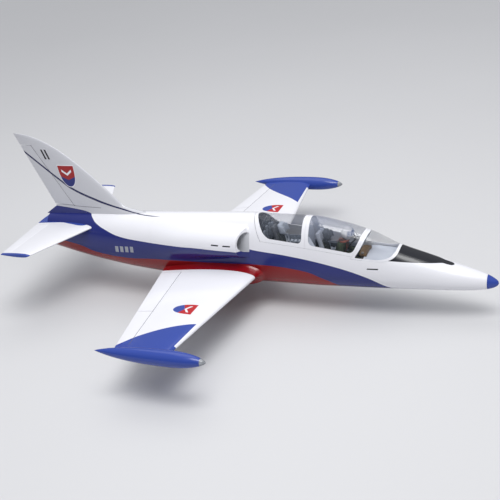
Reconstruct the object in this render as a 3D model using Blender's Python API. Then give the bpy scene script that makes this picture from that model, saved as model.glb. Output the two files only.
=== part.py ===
"""Radio-controlled jet trainer, 1:5 scale: airframe, cockpit, retracting gear and control surfaces.

Frame: +X out of the nose, +Y to the left wing, +Z up, metres. The origin is under the middle of
the bounding box, on the plane of the flat belly. The gear is up and every surface is neutral.
Distances along the fuselage are given as "aft", measured backwards from the nose tip.
"""
import math

import bmesh
import bpy
from mathutils import Matrix, Vector

# ---------------------------------------------------------------- driving dimensions
LENGTH = 2.420
NOSE_X = LENGTH / 2
NOSE_Z = 0.060
WALL = 0.003
GAP = 0.0004
COLUMNS = 32
FLAT_BAND = 0.003

# aft, half width, keel, waist (height of the widest point), crown; heights from the nose tip
STATIONS = (
    (0.000, 0.0010, -0.0010, 0.000, 0.0010),
    (0.004, 0.0100, -0.0090, 0.000, 0.0100),
    (0.018, 0.0205, -0.0185, 0.001, 0.0210),
    (0.048, 0.0320, -0.0280, 0.003, 0.0370),
    (0.110, 0.0500, -0.0345, 0.009, 0.0580),
    (0.200, 0.0670, -0.0380, 0.018, 0.0830),
    (0.320, 0.0820, -0.0420, 0.031, 0.1200),
    (0.434, 0.0915, -0.0465, 0.043, 0.1570),
    (0.571, 0.0985, -0.0515, 0.056, 0.2240),
    (0.711, 0.1030, -0.0555, 0.067, 0.2640),
    (0.840, 0.1060, -0.0600, 0.076, 0.2850),
    (1.100, 0.1090, -0.0600, 0.088, 0.2880),
    (1.400, 0.1130, -0.0600, 0.097, 0.2780),
    (1.600, 0.1150, -0.0480, 0.103, 0.2700),
    (1.800, 0.1100, -0.0290, 0.112, 0.2630),
    (2.000, 0.0950, -0.0010, 0.124, 0.2560),
    (2.150, 0.0780, 0.0270, 0.133, 0.2480),
    (2.320, 0.0540, 0.0640, 0.142, 0.2370),
)
ROUND_TOP = 2.1
ROUND_BOTTOM = 2.3

# aft, distance of the centre from the middle, height of the centre, half width, half height
NACELLE = (
    (1.100, 0.090, 0.174, 0.075, 0.071),
    (1.182, 0.090, 0.174, 0.075, 0.071),
    (1.300, 0.081, 0.168, 0.082, 0.075),
    (1.500, 0.060, 0.155, 0.082, 0.082),
    (1.750, 0.030, 0.142, 0.076, 0.090),
    (2.000, 0.005, 0.132, 0.070, 0.090),
)
NACELLE_BLEND = 0.030
LIP_AFT = 1.182
LIP_OUTER_Y = 0.165
LIP_RAKE = 0.75
LIP_RAKE_OUTER = 0.35
LIP_RAKE_MOST = 0.045
LIP_THICK = 0.006
MOUTH_LOW = 23.0
MOUTH_HIGH = 58.0
MOUTH_STEPS = 8
MOUTH_END_TURN = 330.0

SPLIT_AFT = 1.660
CONE_AFT = 0.048
TAIL_AFT = 2.318
PIPE_Z = 0.1150
REAR_ROWS = (SPLIT_AFT, 1.740, 1.850, 1.950, 2.050, 2.150, 2.240, TAIL_AFT - 0.012)

# canopy and windshield outlines: aft along the centre line, and angles round the section
SCREEN_FRONT = 0.431
GLASS_FRONT = 0.443
SCREEN_LOW = 33.0
GLASS_LOW = 37.0
MID_BOW = 0.861
FRONT_ROUNDING = 0.160
PANE_ABOVE_SILL = 6.5
REAR_SWING_GAP = 0.0017
GAP_ANGLE = 0.35
ACROSS = 14

# wing: half span at the tank axis, leading and trailing edge at the middle and at the tank
TIP_Y = 0.921
WING_LE = (1.092, 1.1916)
WING_TE = (1.635, 1.446)
WING_Z = (0.0154, 0.0548)
WING_THICK = 0.12
ROOT_Y = 0.150
WING_END_Y = 0.900
HINGE_CHORD = 0.77
FLAP_END_GAP = 0.0040
AILERON_END_GAP = 0.0018
OUTER_END_GAP = 0.0010
FLAP_Y = (0.172, 0.562)
AILERON_Y = (0.5735, 0.868)
# root fairing: distance out, thickness over the wing's own, and how far ahead its nose lies
STUB_ROWS = ((0.088, 2.3, 0.030), (0.104, 1.7, 0.016), (0.122, 1.3, 0.006), (ROOT_Y, 1.04, 0.0))
TANK_AFT = (1.009, 1.536)
TANK_RADIUS = 0.036
TANK_Z = 0.0505
TANK_WIDEST = 0.33
LENS_SHARE = 0.045

STAB_ROOT_Y = 0.052
STAB_INNER_Y = 0.0004
STAB_TIP_Y = 0.434
STAB_LE = (2.005, 2.166)
STAB_TE = (2.357, 2.326)
STAB_Z = (0.2000, 0.2070)
STAB_THICK = 0.085
ELEVATOR_HINGE = (2.278, 2.285)
ELEVATOR_Y = (0.078, 0.405)

FIN_BASE_Z = 0.236
FIN_TOP = (2.420, 0.678)
RUDDER_LOW = (2.141, 0.2935)
RUDDER_HIGH = (2.3265, 0.614)
FIN_LEAD = ((1.790, 0.236), (2.000, 0.450), (2.180, 0.665), (2.412, 0.676))
FIN_TRAIL_AFT = 2.253
FIN_SWEEP = (FIN_TOP[0] - FIN_TRAIL_AFT) / (FIN_TOP[1] - 0.281)
FAIRING_TOP = 0.2835
FAIRING_LENGTH = 0.072
FIN_LEVELS = (FIN_BASE_Z, 0.260, 0.267, 0.275, FAIRING_TOP, 0.300, 0.36, 0.43, 0.50, 0.56, 0.60, 0.635,
              0.657, 0.669, 0.676)
FILLET_TOP = 0.300
FILLET_TALL = 0.040
FILLET_LENGTH = 0.125

# dummy pilot: height, half width and half depth of its levels, and where hips and helmet lie
PILOT_LEVELS = ((0.0880, 0.030, 0.027), (0.110, 0.033, 0.030), (0.135, 0.030, 0.026),
                (0.160, 0.046, 0.026), (0.176, 0.034, 0.020), (0.182, 0.015, 0.015),
                (0.190, 0.021, 0.024), (0.206, 0.0265, 0.031), (0.224, 0.0255, 0.030),
                (0.238, 0.017, 0.020), (0.244, 0.006, 0.007))
PILOT_AFT = (0.712, 0.677)

# landing gear
MAIN_PIVOT = (1.380, 0.247, 0.030)
MAIN_LEG = 0.155
MAIN_RADIUS = 0.050
MAIN_WIDTH = 0.028
MAIN_OFFSET = 0.0205
NOSE_PIVOT = (0.505, -0.028)
NOSE_LEG = 0.110
NOSE_RADIUS = 0.043
NOSE_WIDTH = 0.026
NOSE_SWING = 107.0

STRUT = 0.0055
STRUT_THIN = 0.0042
NOSE_STRUT = 0.006
WELL_LOW = -0.080

WING_TUBE_AFT = 1.270
STAB_TUBE_AFT = 2.160


# ---------------------------------------------------------------- small tools
def place(aft, y, up):
    """Model coordinates of a point given by its distance behind and height above the nose tip."""
    return Vector((NOSE_X - aft, y, NOSE_Z + up))


def lerp(pair, t):
    return pair[0] + (pair[1] - pair[0]) * t


def spline_row(table, aft):
    """Monotone cubic through the columns of a table whose first column is the distance aft."""
    last = len(table) - 1
    k = max(0, min(last - 1, sum(1 for row in table if row[0] <= aft) - 1))
    step = table[k + 1][0] - table[k][0]
    t = (aft - table[k][0]) / step

    def slope(i, c):
        if i <= 0 or i >= last:
            j = 0 if i <= 0 else last - 1
            return (table[j + 1][c] - table[j][c]) / (table[j + 1][0] - table[j][0])
        before = (table[i][c] - table[i - 1][c]) / (table[i][0] - table[i - 1][0])
        after = (table[i + 1][c] - table[i][c]) / (table[i + 1][0] - table[i][0])
        return 0.0 if before * after <= 0 else 2 * before * after / (before + after)

    values = []
    for c in range(1, len(table[0])):
        h00 = 2 * t ** 3 - 3 * t ** 2 + 1
        h10 = t ** 3 - 2 * t ** 2 + t
        h01 = -2 * t ** 3 + 3 * t ** 2
        h11 = t ** 3 - t ** 2
        values.append(h00 * table[k][c] + h10 * step * slope(k, c)
                      + h01 * table[k + 1][c] + h11 * step * slope(k + 1, c))
    return values


def material(name, colour, rough, metal=0.0, alpha=1.0):
    found = bpy.data.materials.get(name)
    if found:
        return found
    made = bpy.data.materials.new(name)
    made.use_nodes = True
    shader = made.node_tree.nodes["Principled BSDF"]
    shader.inputs["Base Color"].default_value = (*colour, 1.0)
    shader.inputs["Roughness"].default_value = rough
    shader.inputs["Metallic"].default_value = metal
    shader.inputs["Alpha"].default_value = alpha
    return made


WHITE = ("gloss_white", (0.86, 0.86, 0.90), 0.18)
BLUE = ("gloss_blue", (0.035, 0.06, 0.36), 0.2)
DARK_GREY = ("matte_dark_grey", (0.05, 0.055, 0.06), 0.6)
LIGHT_GREY = ("matte_light_grey", (0.45, 0.47, 0.5), 0.5)
CLEAR = ("clear_plastic", (0.75, 0.8, 0.86), 0.05, 0.0, 0.3)
ALUMINIUM = ("aluminium", (0.7, 0.71, 0.73), 0.3, 1.0)
STEEL = ("exhaust_steel", (0.5, 0.47, 0.44), 0.35, 1.0)
RUBBER = ("tyre_rubber", (0.02, 0.02, 0.02), 0.8)
CARBON = ("carbon_fibre", (0.03, 0.03, 0.035), 0.35)
FUEL_WHITE = ("tank_plastic", (0.8, 0.78, 0.7), 0.35)
SUIT = ("flight_suit", (0.09, 0.11, 0.06), 0.85)
PACK_BLUE = ("battery_wrap", (0.05, 0.12, 0.3), 0.5)
PLYWOOD = ("birch_plywood", (0.55, 0.38, 0.2), 0.7)
PANEL_BROWN = ("panel_brown", (0.25, 0.16, 0.08), 0.6)


def finish(name, bm, look, smooth=35.0, origin=None):
    """Turn a bmesh in model coordinates into a named object, its origin on a given point."""
    bmesh.ops.remove_doubles(bm, verts=bm.verts, dist=1e-6)
    bmesh.ops.recalc_face_normals(bm, faces=bm.faces)
    if origin is not None:
        bmesh.ops.translate(bm, verts=bm.verts, vec=-Vector(origin))
    mesh = bpy.data.meshes.new(name)
    bm.to_mesh(mesh)
    bm.free()
    mesh.materials.append(material(*look))
    mesh.shade_smooth()
    mesh.set_sharp_from_angle(angle=math.radians(smooth))
    made = bpy.data.objects.new(name, mesh)
    bpy.context.scene.collection.objects.link(made)
    if origin is not None:
        made.location = origin
    return made


def add_grid(bm, rows, closed):
    """Triangles between successive rows of points; a closed row joins its last point to its first.

    Every field is halved along the same diagonal, so that pieces shaped to one another agree.
    """
    made = [[bm.verts.new(p) for p in row] for row in rows]
    for upper, lower in zip(made, made[1:]):
        count = len(upper)
        for j in range(count if closed else count - 1):
            k = (j + 1) % count
            bm.faces.new((upper[j], upper[k], lower[k]))
            bm.faces.new((upper[j], lower[k], lower[j]))
    return made


def loft(name, rings, look, smooth=35.0, origin=None):
    """Closed solid through rings of points, with a flat cap at each end."""
    bm = bmesh.new()
    made = add_grid(bm, rings, True)
    bm.faces.new(made[0])
    bm.faces.new(made[-1])
    return finish(name, bm, look, smooth, origin)


def sleeve(name, outer, inner, look, smooth=35.0):
    """Hollow solid between two sets of rings that share their number of points, open at both ends."""
    bm = bmesh.new()
    out = add_grid(bm, outer, True)
    core = add_grid(bm, inner, True)
    for a, b in ((out[0], core[0]), (out[-1], core[-1])):
        for j in range(len(a)):
            k = (j + 1) % len(a)
            bm.faces.new((a[j], a[k], b[k], b[j]))
    return finish(name, bm, look, smooth)


def turned(name, centre, axis, profile, look, sides=24, origin=None):
    """Solid turned about an axis: the profile lists (distance along the axis, radius)."""
    axis = Vector(axis).normalized()
    side = axis.orthogonal().normalized()
    other = axis.cross(side)
    centre = Vector(centre)
    rings = []
    for along, radius in profile:
        ring = []
        for k in range(sides):
            turn = 2 * math.pi * k / sides
            out = side * math.cos(turn) + other * math.sin(turn)
            ring.append(centre + axis * along + out * radius)
        rings.append(ring)
    bm = bmesh.new()
    made = add_grid(bm, rings, True)
    if profile[0] != profile[-1]:
        bm.faces.new(made[0])
        bm.faces.new(made[-1])
    return finish(name, bm, look, origin=origin)


def block(name, low, high, look, bevel=0.0, origin=None):
    """Box between two corners given as (aft, y, up), with bevelled edges."""
    a, b = place(*low), place(*high)
    bm = bmesh.new()
    bmesh.ops.create_cube(bm, size=1.0)
    size = [abs(a[i] - b[i]) for i in range(3)]
    bmesh.ops.scale(bm, vec=size, verts=bm.verts)
    bmesh.ops.translate(bm, vec=(a + b) / 2, verts=bm.verts)
    if bevel:
        bmesh.ops.bevel(bm, geom=list(bm.edges), offset=bevel, segments=1, affect='EDGES')
    return finish(name, bm, look, origin=origin)


def combine(target, other, operation):
    """Boolean the other object into the target; the other becomes a hidden construction body."""
    other.hide_render = True
    other.display_type = 'WIRE'
    cut = target.modifiers.new(f"{operation.lower()}_{other.name}", 'BOOLEAN')
    cut.object = other
    cut.operation = operation
    cut.solver = 'EXACT'


def mirrored(side):
    return "left" if side > 0 else "right"


# ---------------------------------------------------------------- fuselage skin
def smooth_max(a, b, blend):
    near = max(blend - abs(a - b), 0.0) / blend
    return max(a, b) + near * near * blend / 4


def skin_radius(aft, angle, nacelle):
    """Distance of the skin from the waist point of a section, and the waist's height."""
    half, keel, waist, crown = spline_row(STATIONS, aft)
    c, s = abs(math.cos(angle)), math.sin(angle)
    height = crown - waist if s > 0 else waist - keel
    power = ROUND_TOP if s > 0 else ROUND_BOTTOM
    radius = ((c / half) ** power + (abs(s) / height) ** power) ** (-1 / power)
    if nacelle and NACELLE[0][0] <= aft <= NACELLE[-1][0]:
        out, up, wide, tall = spline_row(NACELLE, aft)
        dz = waist - up
        square = (c / wide) ** 2 + (s / tall) ** 2
        linear = 2 * (-c * out / wide ** 2 + s * dz / tall ** 2)
        rest = (out / wide) ** 2 + (dz / tall) ** 2 - 1
        root = linear ** 2 - 4 * square * rest
        if root > 0:
            radius = smooth_max(radius, (-linear + math.sqrt(root)) / (2 * square), NACELLE_BLEND)
    return radius, waist


def skin(aft, degrees, offset=0.0, nacelle=True):
    """Point of the skin at an angle round the section: 0 is the left side and 90 the crown."""
    angle = math.radians(degrees)
    radius, waist = skin_radius(aft, angle, nacelle)
    radius += offset
    point = place(aft, radius * math.cos(angle), waist + radius * math.sin(angle))
    if offset >= 0 and point.z < FLAT_BAND:
        point.z = 0.0
    return point


def lip_aft(degrees, nacelle=True):
    """The raked plane of the intake lip: it lies further forward towards the fuselage side."""
    angle = math.radians(degrees)
    radius, _ = skin_radius(LIP_AFT, angle, nacelle)
    inboard = LIP_OUTER_Y - min(abs(radius * math.cos(angle)), LIP_OUTER_Y)
    rake = LIP_RAKE_OUTER if nacelle else LIP_RAKE
    return LIP_AFT - min(rake * inboard, LIP_RAKE_MOST)


def skin_ring(aft, offset=0.0, nacelle=True, rake=0.0):
    ring = []
    for j in range(COLUMNS):
        degrees = -90 + 360 * j / COLUMNS
        ring.append(skin(aft + rake * (lip_aft(degrees, nacelle) - LIP_AFT), degrees, offset, nacelle))
    return ring


FRONT_ROWS = ((CONE_AFT + GAP, 0), (0.110, 0), (0.200, 0), (0.320, 0), (0.434, 0),
              (0.571, 0), (0.711, 0), (0.861, 0), (0.980, 0.2), (1.080, 0.6))
BACK_ROWS = ((1.240, 0.6), (1.330, 0.2), (1.440, 0), (1.550, 0), (SPLIT_AFT - GAP, 0))


def front_shell():
    """Front fuselage moulding: a shell whose nacelles start in a step at the raked intake lip."""
    outer = [skin_ring(a, 0.0, False, r) for a, r in FRONT_ROWS]
    outer += [skin_ring(LIP_AFT, 0.0, False, 1.0), skin_ring(LIP_AFT, 0.0, True, 1.0)]
    outer += [skin_ring(a, 0.0, True, r) for a, r in BACK_ROWS]
    behind = LIP_AFT + LIP_THICK
    inner = [skin_ring(a, -WALL, False, r) for a, r in FRONT_ROWS]
    inner += [skin_ring(behind, -WALL, False, 1.0), skin_ring(behind, -WALL, True, 1.0)]
    inner += [skin_ring(a, -WALL, True, r) for a, r in BACK_ROWS]
    return sleeve("fuselage_front", outer, inner, WHITE)


def rear_rings(offset, mouth):
    """Sections of the rear fuselage, the last one a circle round the tailpipe."""
    rings = [skin_ring(a, offset) for a in REAR_ROWS]
    ring = []
    for j in range(COLUMNS):
        angle = math.radians(-90 + 360 * j / COLUMNS)
        ring.append(place(TAIL_AFT, mouth * math.cos(angle), PIPE_Z + mouth * math.sin(angle)))
    return rings + [ring]


def rear_shell():
    """Rear fuselage moulding, closing round the tailpipe."""
    return sleeve("fuselage_rear", rear_rings(0.0, 0.0475), rear_rings(-WALL, 0.0445), WHITE)


def rear_envelope(name):
    """The rear fuselage's outside, grown by the joint gap, to shape the roots of fin and tailplane."""
    return loft(name, rear_rings(GAP, 0.0475 + GAP), DARK_GREY)


def nose_cone():
    rows = (0.0, 0.004, 0.014, 0.030, CONE_AFT - GAP)
    bm = bmesh.new()
    outer = add_grid(bm, [skin_ring(a) for a in rows[1:]], True)
    inner = add_grid(bm, [skin_ring(a, -WALL) for a in rows[2:]], True)
    tip, hollow = bm.verts.new(place(0.0, 0, 0)), bm.verts.new(place(0.008, 0, 0))
    for pole, ring in ((tip, outer[0]), (hollow, inner[0])):
        for j in range(COLUMNS):
            bm.faces.new((pole, ring[j], ring[(j + 1) % COLUMNS]))
    for j in range(COLUMNS):
        k = (j + 1) % COLUMNS
        bm.faces.new((outer[-1][j], outer[-1][k], inner[-1][k], inner[-1][j]))
    return finish("nose_cone", bm, BLUE, 50)


# ---------------------------------------------------------------- patches of the skin
def patch(name, afts, angles, look, proud=0.0, deep=0.003, hole=False, along=6):
    """Solid that follows the skin between knots of aft and angle.

    afts holds functions of the angle, angles holds functions of the distance aft. Between them
    the solid is a grid; hole = True leaves out the middle field, which a pane then fills.
    """
    steps_u = knots(len(afts) - 1, along)
    steps_v = knots(len(angles) - 1, ACROSS)
    bm = bmesh.new()
    grids = []
    for offset in (proud, -deep):
        rows = []
        for u in steps_u:
            row = []
            for v in steps_v:
                aft = 0.5 * (afts[0](90.0) + afts[-1](90.0))
                for _ in range(6):
                    degrees = between([f(aft) for f in angles], v)
                    aft = between([f(min(degrees, 180 - degrees)) for f in afts], u)
                row.append(bm.verts.new(skin(aft, degrees, offset, False)))
            rows.append(row)
        grids.append(rows)
    count_u, count_v = len(steps_u) - 1, len(steps_v) - 1

    def kept(i, j):
        if not (0 <= i < count_u and 0 <= j < count_v):
            return False
        u, v = (steps_u[i] + steps_u[i + 1]) / 2, (steps_v[j] + steps_v[j + 1]) / 2
        return not (hole and 1 < u < 2 and 1 < v < 2)

    top, low = grids
    for i in range(count_u):
        for j in range(count_v):
            if not kept(i, j):
                continue
            corners = ((i, j), (i, j + 1), (i + 1, j + 1), (i + 1, j))
            bm.faces.new([top[a][b] for a, b in corners])
            bm.faces.new([low[a][b] for a, b in corners])
            sides = ((i, j - 1), (i - 1, j), (i, j + 1), (i + 1, j))
            edges = (((i, j), (i + 1, j)), ((i, j), (i, j + 1)),
                     ((i, j + 1), (i + 1, j + 1)), ((i + 1, j), (i + 1, j + 1)))
            for side, ((a, b), (c, d)) in zip(sides, edges):
                if not kept(*side):
                    bm.faces.new((top[a][b], top[c][d], low[c][d], low[a][b]))
    return finish(name, bm, look)


def knots(fields, fine):
    """Parameter steps: one field is cut finely all over, of three only the middle one is."""
    if fields == 1:
        return [k / fine for k in range(fine + 1)]
    return [0.0] + [1 + k / fine for k in range(fine + 1)] + [3.0]


def between(values, t):
    """Piecewise linear between values: the parameter's whole number says between which."""
    if len(values) == 2:
        return values[0] + (values[1] - values[0]) * t
    if t >= 2:
        return values[2] + (values[3] - values[2]) * (t - 2)
    if t >= 1:
        return values[1] + (values[2] - values[1]) * (t - 1)
    return values[0] + (values[1] - values[0]) * t


def front_curve(front, low):
    """Rounded front edge of the windshield: a cubic superellipse in aft and angle."""
    def aft(degrees):
        s = min(max((degrees - low) / (90 - low), 0.0), 1.0)
        return front + FRONT_ROUNDING * (1 - (1 - (1 - s) ** 3) ** (1 / 3))
    return aft


def bow(top, foot, low=43.0, power=1.5):
    """Hoop of the canopy, leaning from its top to its foot."""
    def aft(degrees):
        s = min(max((90 - degrees) / (90 - low), 0.0), 1.2)
        return top + (foot - top) * s ** power
    return aft


def level(value):
    return lambda _: value


def sill(extra=0.0):
    """Angle of the cockpit sill, which climbs a little towards the tail."""
    return lambda aft: 38.0 + 18.0 * (aft - 0.63) + extra


def mirror_angle(f):
    return lambda aft: 180.0 - f(aft)


SCREEN_BACK = bow(0.583, 0.631)
GLASS_BACK = bow(0.571, 0.619)
FRONT_PANE = (bow(0.593, 0.641), level(0.845))
REAR_PANE = (level(0.878), bow(1.113, 1.060, 54, 1.3))
REAR_END = bow(1.130, 1.085, 47, 1.3)

def shifted(f, by):
    return lambda value: f(value) + by


def canopies():
    """Windshield, front canopy and rear canopy: frames with their panes, and the cutters."""
    low, glass_low = level(SCREEN_LOW), level(GLASS_LOW)
    screen = (front_curve(SCREEN_FRONT, SCREEN_LOW), front_curve(GLASS_FRONT, GLASS_LOW),
              GLASS_BACK, SCREEN_BACK)
    pane_low = sill(PANE_ABOVE_SILL)
    parts = (
        ("windshield", screen, low, glass_low, GAP),
        ("canopy_front", (SCREEN_BACK, *FRONT_PANE, level(MID_BOW)), sill(), pane_low, GAP),
        ("canopy_rear", (level(MID_BOW), *REAR_PANE, REAR_END), sill(), pane_low, REAR_SWING_GAP),
    )
    for name, afts, edge, pane, rear_gap in parts:
        front, pane_front = shifted(afts[0], GAP), shifted(afts[1], GAP)
        if name == "windshield":
            front = front_curve(SCREEN_FRONT + GAP, SCREEN_LOW + GAP_ANGLE)
            pane_front = front_curve(GLASS_FRONT + GAP, GLASS_LOW + GAP_ANGLE)
        frame_afts = (front, afts[1], afts[2], shifted(afts[3], -rear_gap))
        lower = shifted(edge, GAP_ANGLE)
        patch(f"{name}_frame", frame_afts, (lower, pane, mirror_angle(pane), mirror_angle(lower)),
              WHITE, 0.0, WALL, True)
        inset = shifted(pane, GAP_ANGLE)
        patch(f"{name}_glass", (pane_front, shifted(afts[2], -GAP)),
              (inset, mirror_angle(inset)), CLEAR, -0.0004, 0.0019)
    room = (*screen[:3], shifted(screen[3], 2 * GAP))
    sides = (low, glass_low, mirror_angle(glass_low), mirror_angle(low))
    screen_cut = patch("cut_screen", room, sides, DARK_GREY, 0.01, 0.012)
    ends = (shifted(SCREEN_BACK, -0.001), REAR_END)
    sides = (sill(), mirror_angle(sill()))
    canopy_cut = patch("cut_canopy", ends, sides, DARK_GREY, 0.01, 0.012, along=12)
    return screen_cut, canopy_cut


# ---------------------------------------------------------------- intakes
def mouth_ring(side, inset, shift):
    """Outline of the intake mouth in the raked plane, moved aft by shift: outer arc, then inner arc."""
    arcs = ([], [])
    for k in range(MOUTH_STEPS + 1):
        degrees = MOUTH_LOW + (MOUTH_HIGH - MOUTH_LOW) * k / MOUTH_STEPS
        if k in (0, MOUTH_STEPS):
            degrees += math.copysign(inset * MOUTH_END_TURN, MOUTH_STEPS / 2 - k)
        angle = math.radians(degrees)
        near, far = lip_aft(degrees, False), lip_aft(degrees)
        base, outer = skin_radius(near, angle, False)[0], skin_radius(far, angle, True)[0]
        for arc, radius in zip(arcs, (outer - LIP_THICK - inset, base + inset)):
            aft = near + (far - near) * (radius - base) / (outer - base)
            waist = skin_radius(aft, angle, False)[1]
            arc.append(place(aft + shift, side * radius * math.cos(angle), waist + radius * math.sin(angle)))
    return arcs[0] + arcs[1][::-1]


def oval_ring(side, aft, y, up, wide, tall, count):
    """Oval duct section; its points start at the lower outer side as the mouth's outline does."""
    ring = []
    for k in range(count):
        angle = math.radians(-50 + 360 * (k + 0.5) / count)
        ring.append(place(aft, side * (y + wide * math.cos(angle)), up + tall * math.sin(angle)))
    return ring


def intakes(shell):
    for side in (1, -1):
        mouth = [mouth_ring(side, 0.0, -0.02), mouth_ring(side, 0.0, 0.012)]
        cutter = loft(f"cut_mouth_{mirrored(side)}", mouth, DARK_GREY)
        combine(shell, cutter, 'DIFFERENCE')
        outer, inner = [], []
        for shift in (0.0005, 0.0075, 0.016, 0.045, 0.110, 0.190, 0.290):
            t = max(shift - 0.008, 0.0) / 0.282
            t = t * t * (3 - 2 * t)
            for rings, inset, wide, tall in ((outer, GAP, 0.034, 0.046), (inner, 0.0022, 0.032, 0.044)):
                mouth = mouth_ring(side, inset + (0.0025 if shift > 0.008 else 0.0), shift)
                oval = oval_ring(side, LIP_AFT + shift - 0.01, 0.066, 0.155, wide, tall, len(mouth))
                rings.append([a.lerp(b, t) for a, b in zip(mouth, oval)])
        sleeve(f"intake_duct_{mirrored(side)}", outer, inner, LIGHT_GREY)


# ---------------------------------------------------------------- wings, tail and their surfaces
def aerofoil(chord_share, thick):
    """Half thickness of a symmetrical four-digit section, as a share of the chord."""
    x = chord_share
    tail = -0.126 * x - 0.3516 * x ** 2 + 0.2843 * x ** 3 - 0.1015 * x ** 4
    return 5 * thick * (0.2969 * math.sqrt(x) + tail)


def section(lead, trail, thick, point, count=11):
    """Closed outline of a section: point(aft, half thickness) turns it into model coordinates."""
    chord = trail - lead
    shares = [0.5 * (1 - math.cos(math.pi * k / (count - 1))) for k in range(count)]
    upper = [point(lead + s * chord, aerofoil(s, thick) * chord + 0.0003) for s in reversed(shares)]
    lower = [point(lead + s * chord, -aerofoil(s, thick) * chord - 0.0003) for s in shares]
    return upper + lower


def wing_edges(y):
    t = y / TIP_Y
    return lerp(WING_LE, t), lerp(WING_TE, t), lerp(WING_Z, t)


def wing_section(side, y, swell=1.0, ahead=0.0):
    lead, trail, up = wing_edges(y)
    return section(lead - ahead, trail, WING_THICK * swell,
                   lambda aft, half: place(aft, side * y, up + half))


def stab_edges(y):
    t = (y - STAB_ROOT_Y) / (STAB_TIP_Y - STAB_ROOT_Y)
    return lerp(STAB_LE, t), lerp(STAB_TE, t), lerp(STAB_Z, t)


def half_round(centre, along, across, radius, steps=8):
    """Points of the round front of a control surface, from its upper to its lower side."""
    turns = [math.pi * k / steps for k in range(steps + 1)]
    return [centre + (across * math.cos(t) - along * math.sin(t)) * radius for t in turns]


def surface(name, ends, look, normal, tail_thick=0.0008):
    """Control surface between two ends (hinge point, trailing point, nose radius)."""
    back = Vector((-1, 0, 0))
    rings = []
    for hinge, trail, radius in ends:
        ring = half_round(hinge, back, normal, radius)
        rings.append(ring + [trail - normal * tail_thick, trail + normal * tail_thick])
    return loft(name, rings, look, 30, origin=ends[0][0])


def bay_cutter(name, ends, normal, clear):
    """The room for a control surface: a round-bottomed groove that runs out past the trailing edge."""
    back = Vector((-1, 0, 0))
    rings = []
    for hinge, trail, radius in ends:
        ring = half_round(hinge, back, normal, radius + clear)
        far = trail + back * 0.03
        rings.append(ring + [far - normal * (radius + clear), far + normal * (radius + clear)])
    return loft(name, rings, DARK_GREY)


def wing_hinge(side, y):
    lead, trail, up = wing_edges(y)
    chord = trail - lead
    radius = aerofoil(HINGE_CHORD, WING_THICK) * chord + 0.0002
    return place(lead + HINGE_CHORD * chord, side * y, up), place(trail, side * y, up), radius


def span_cutter(name, hinge_of, low, high, gap_in, gap_out, clear=0.001):
    """Bay of a control surface, a little wider than the surface at both ends."""
    normal = Vector((0, 0, 1))
    return bay_cutter(name, [hinge_of(low - gap_in), hinge_of(high + gap_out)], normal, clear)


def wings(shell):
    """Root fairings, wing panels with their flaps and ailerons, and tip tanks."""
    up = Vector((0, 0, 1))
    for side in (1, -1):
        word = mirrored(side)
        rows = [wing_section(side, y, swell, ahead) for y, swell, ahead in STUB_ROWS]
        stub = loft(f"stub_{word}", rows, WHITE)
        combine(shell, stub, 'UNION')
        rows = [wing_section(side, ROOT_Y + GAP), wing_section(side, WING_END_Y)]
        panel = loft(f"wing_{word}", rows, WHITE)

        def hinge_of(y, side=side):
            return wing_hinge(side, y)

        for kind, (low, high), inner_gap in (("flap", FLAP_Y, FLAP_END_GAP),
                                             ("aileron", AILERON_Y, AILERON_END_GAP)):
            bay = span_cutter(f"cut_{kind}_{word}", hinge_of, low, high, inner_gap, OUTER_END_GAP)
            combine(panel, bay, 'DIFFERENCE')
            surface(f"{kind}_{word}", [hinge_of(low), hinge_of(high)], WHITE, up)
        tank(side, word)
        yield side, panel


def tank(side, word):
    """Tip tank with its clear front, hollowed where the wing tip goes in."""
    length = TANK_AFT[1] - TANK_AFT[0]

    def radius(s):
        if s < TANK_WIDEST:
            return TANK_RADIUS * (1 - ((TANK_WIDEST - s) / TANK_WIDEST) ** 2.2) ** 0.62
        return TANK_RADIUS * (1 - ((s - TANK_WIDEST) / (1 - TANK_WIDEST)) ** 2.4) ** 0.9

    def profile(shares):
        return [(-s * length, max(radius(s), 0.0008)) for s in shares]

    front = place(TANK_AFT[0], side * TIP_Y, TANK_Z)
    body = profile((LENS_SHARE, 0.08, 0.14, 0.22, 0.34, 0.50, 0.65, 0.78, 0.89, 0.96, 1.0))
    shell = turned(f"tip_tank_{word}", front, (1, 0, 0), body, BLUE, 16)
    wing_end = [wing_section(side, y, 1.03, 0.0006) for y in (0.870, WING_END_Y + GAP)]
    socket = loft(f"cut_socket_{word}", wing_end, DARK_GREY)
    combine(shell, socket, 'DIFFERENCE')
    turned(f"tank_lens_{word}", front + Vector((GAP, 0, 0)), (1, 0, 0),
           profile((0.0, 0.008, 0.022, LENS_SHARE)), CLEAR, 16)


def stabilisers():
    """Tailplane halves with their elevators, on one carbon tube."""
    up = Vector((0, 0, 1))
    for side in (1, -1):
        word = mirrored(side)

        def row(y, side=side):
            lead, trail, height = stab_edges(y)
            return section(lead, trail, STAB_THICK, lambda aft, half: place(aft, side * y, height + half), 9)

        def hinge_of(y, side=side):
            lead, trail, height = stab_edges(y)
            t = (y - STAB_ROOT_Y) / (STAB_TIP_Y - STAB_ROOT_Y)
            hinge = lerp(ELEVATOR_HINGE, t)
            radius = aerofoil((hinge - lead) / (trail - lead), STAB_THICK) * (trail - lead) + 0.0002
            return place(hinge, side * y, height), place(trail, side * y, height), radius

        panel = loft(f"stab_{word}", [row(STAB_INNER_Y), row(STAB_TIP_Y)], WHITE)
        bay = span_cutter(f"cut_elevator_{word}", hinge_of, *ELEVATOR_Y, 0.0012, 0.0012)
        combine(panel, bay, 'DIFFERENCE')
        surface(f"elevator_{word}", [hinge_of(y) for y in ELEVATOR_Y], WHITE, up)
        yield side, panel


def bezier(points, t):
    weights = ((1 - t) ** 3, 3 * (1 - t) ** 2 * t, 3 * (1 - t) * t * t, t ** 3)
    return [sum(w * p[i] for w, p in zip(weights, points)) for i in range(2)]


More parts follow.
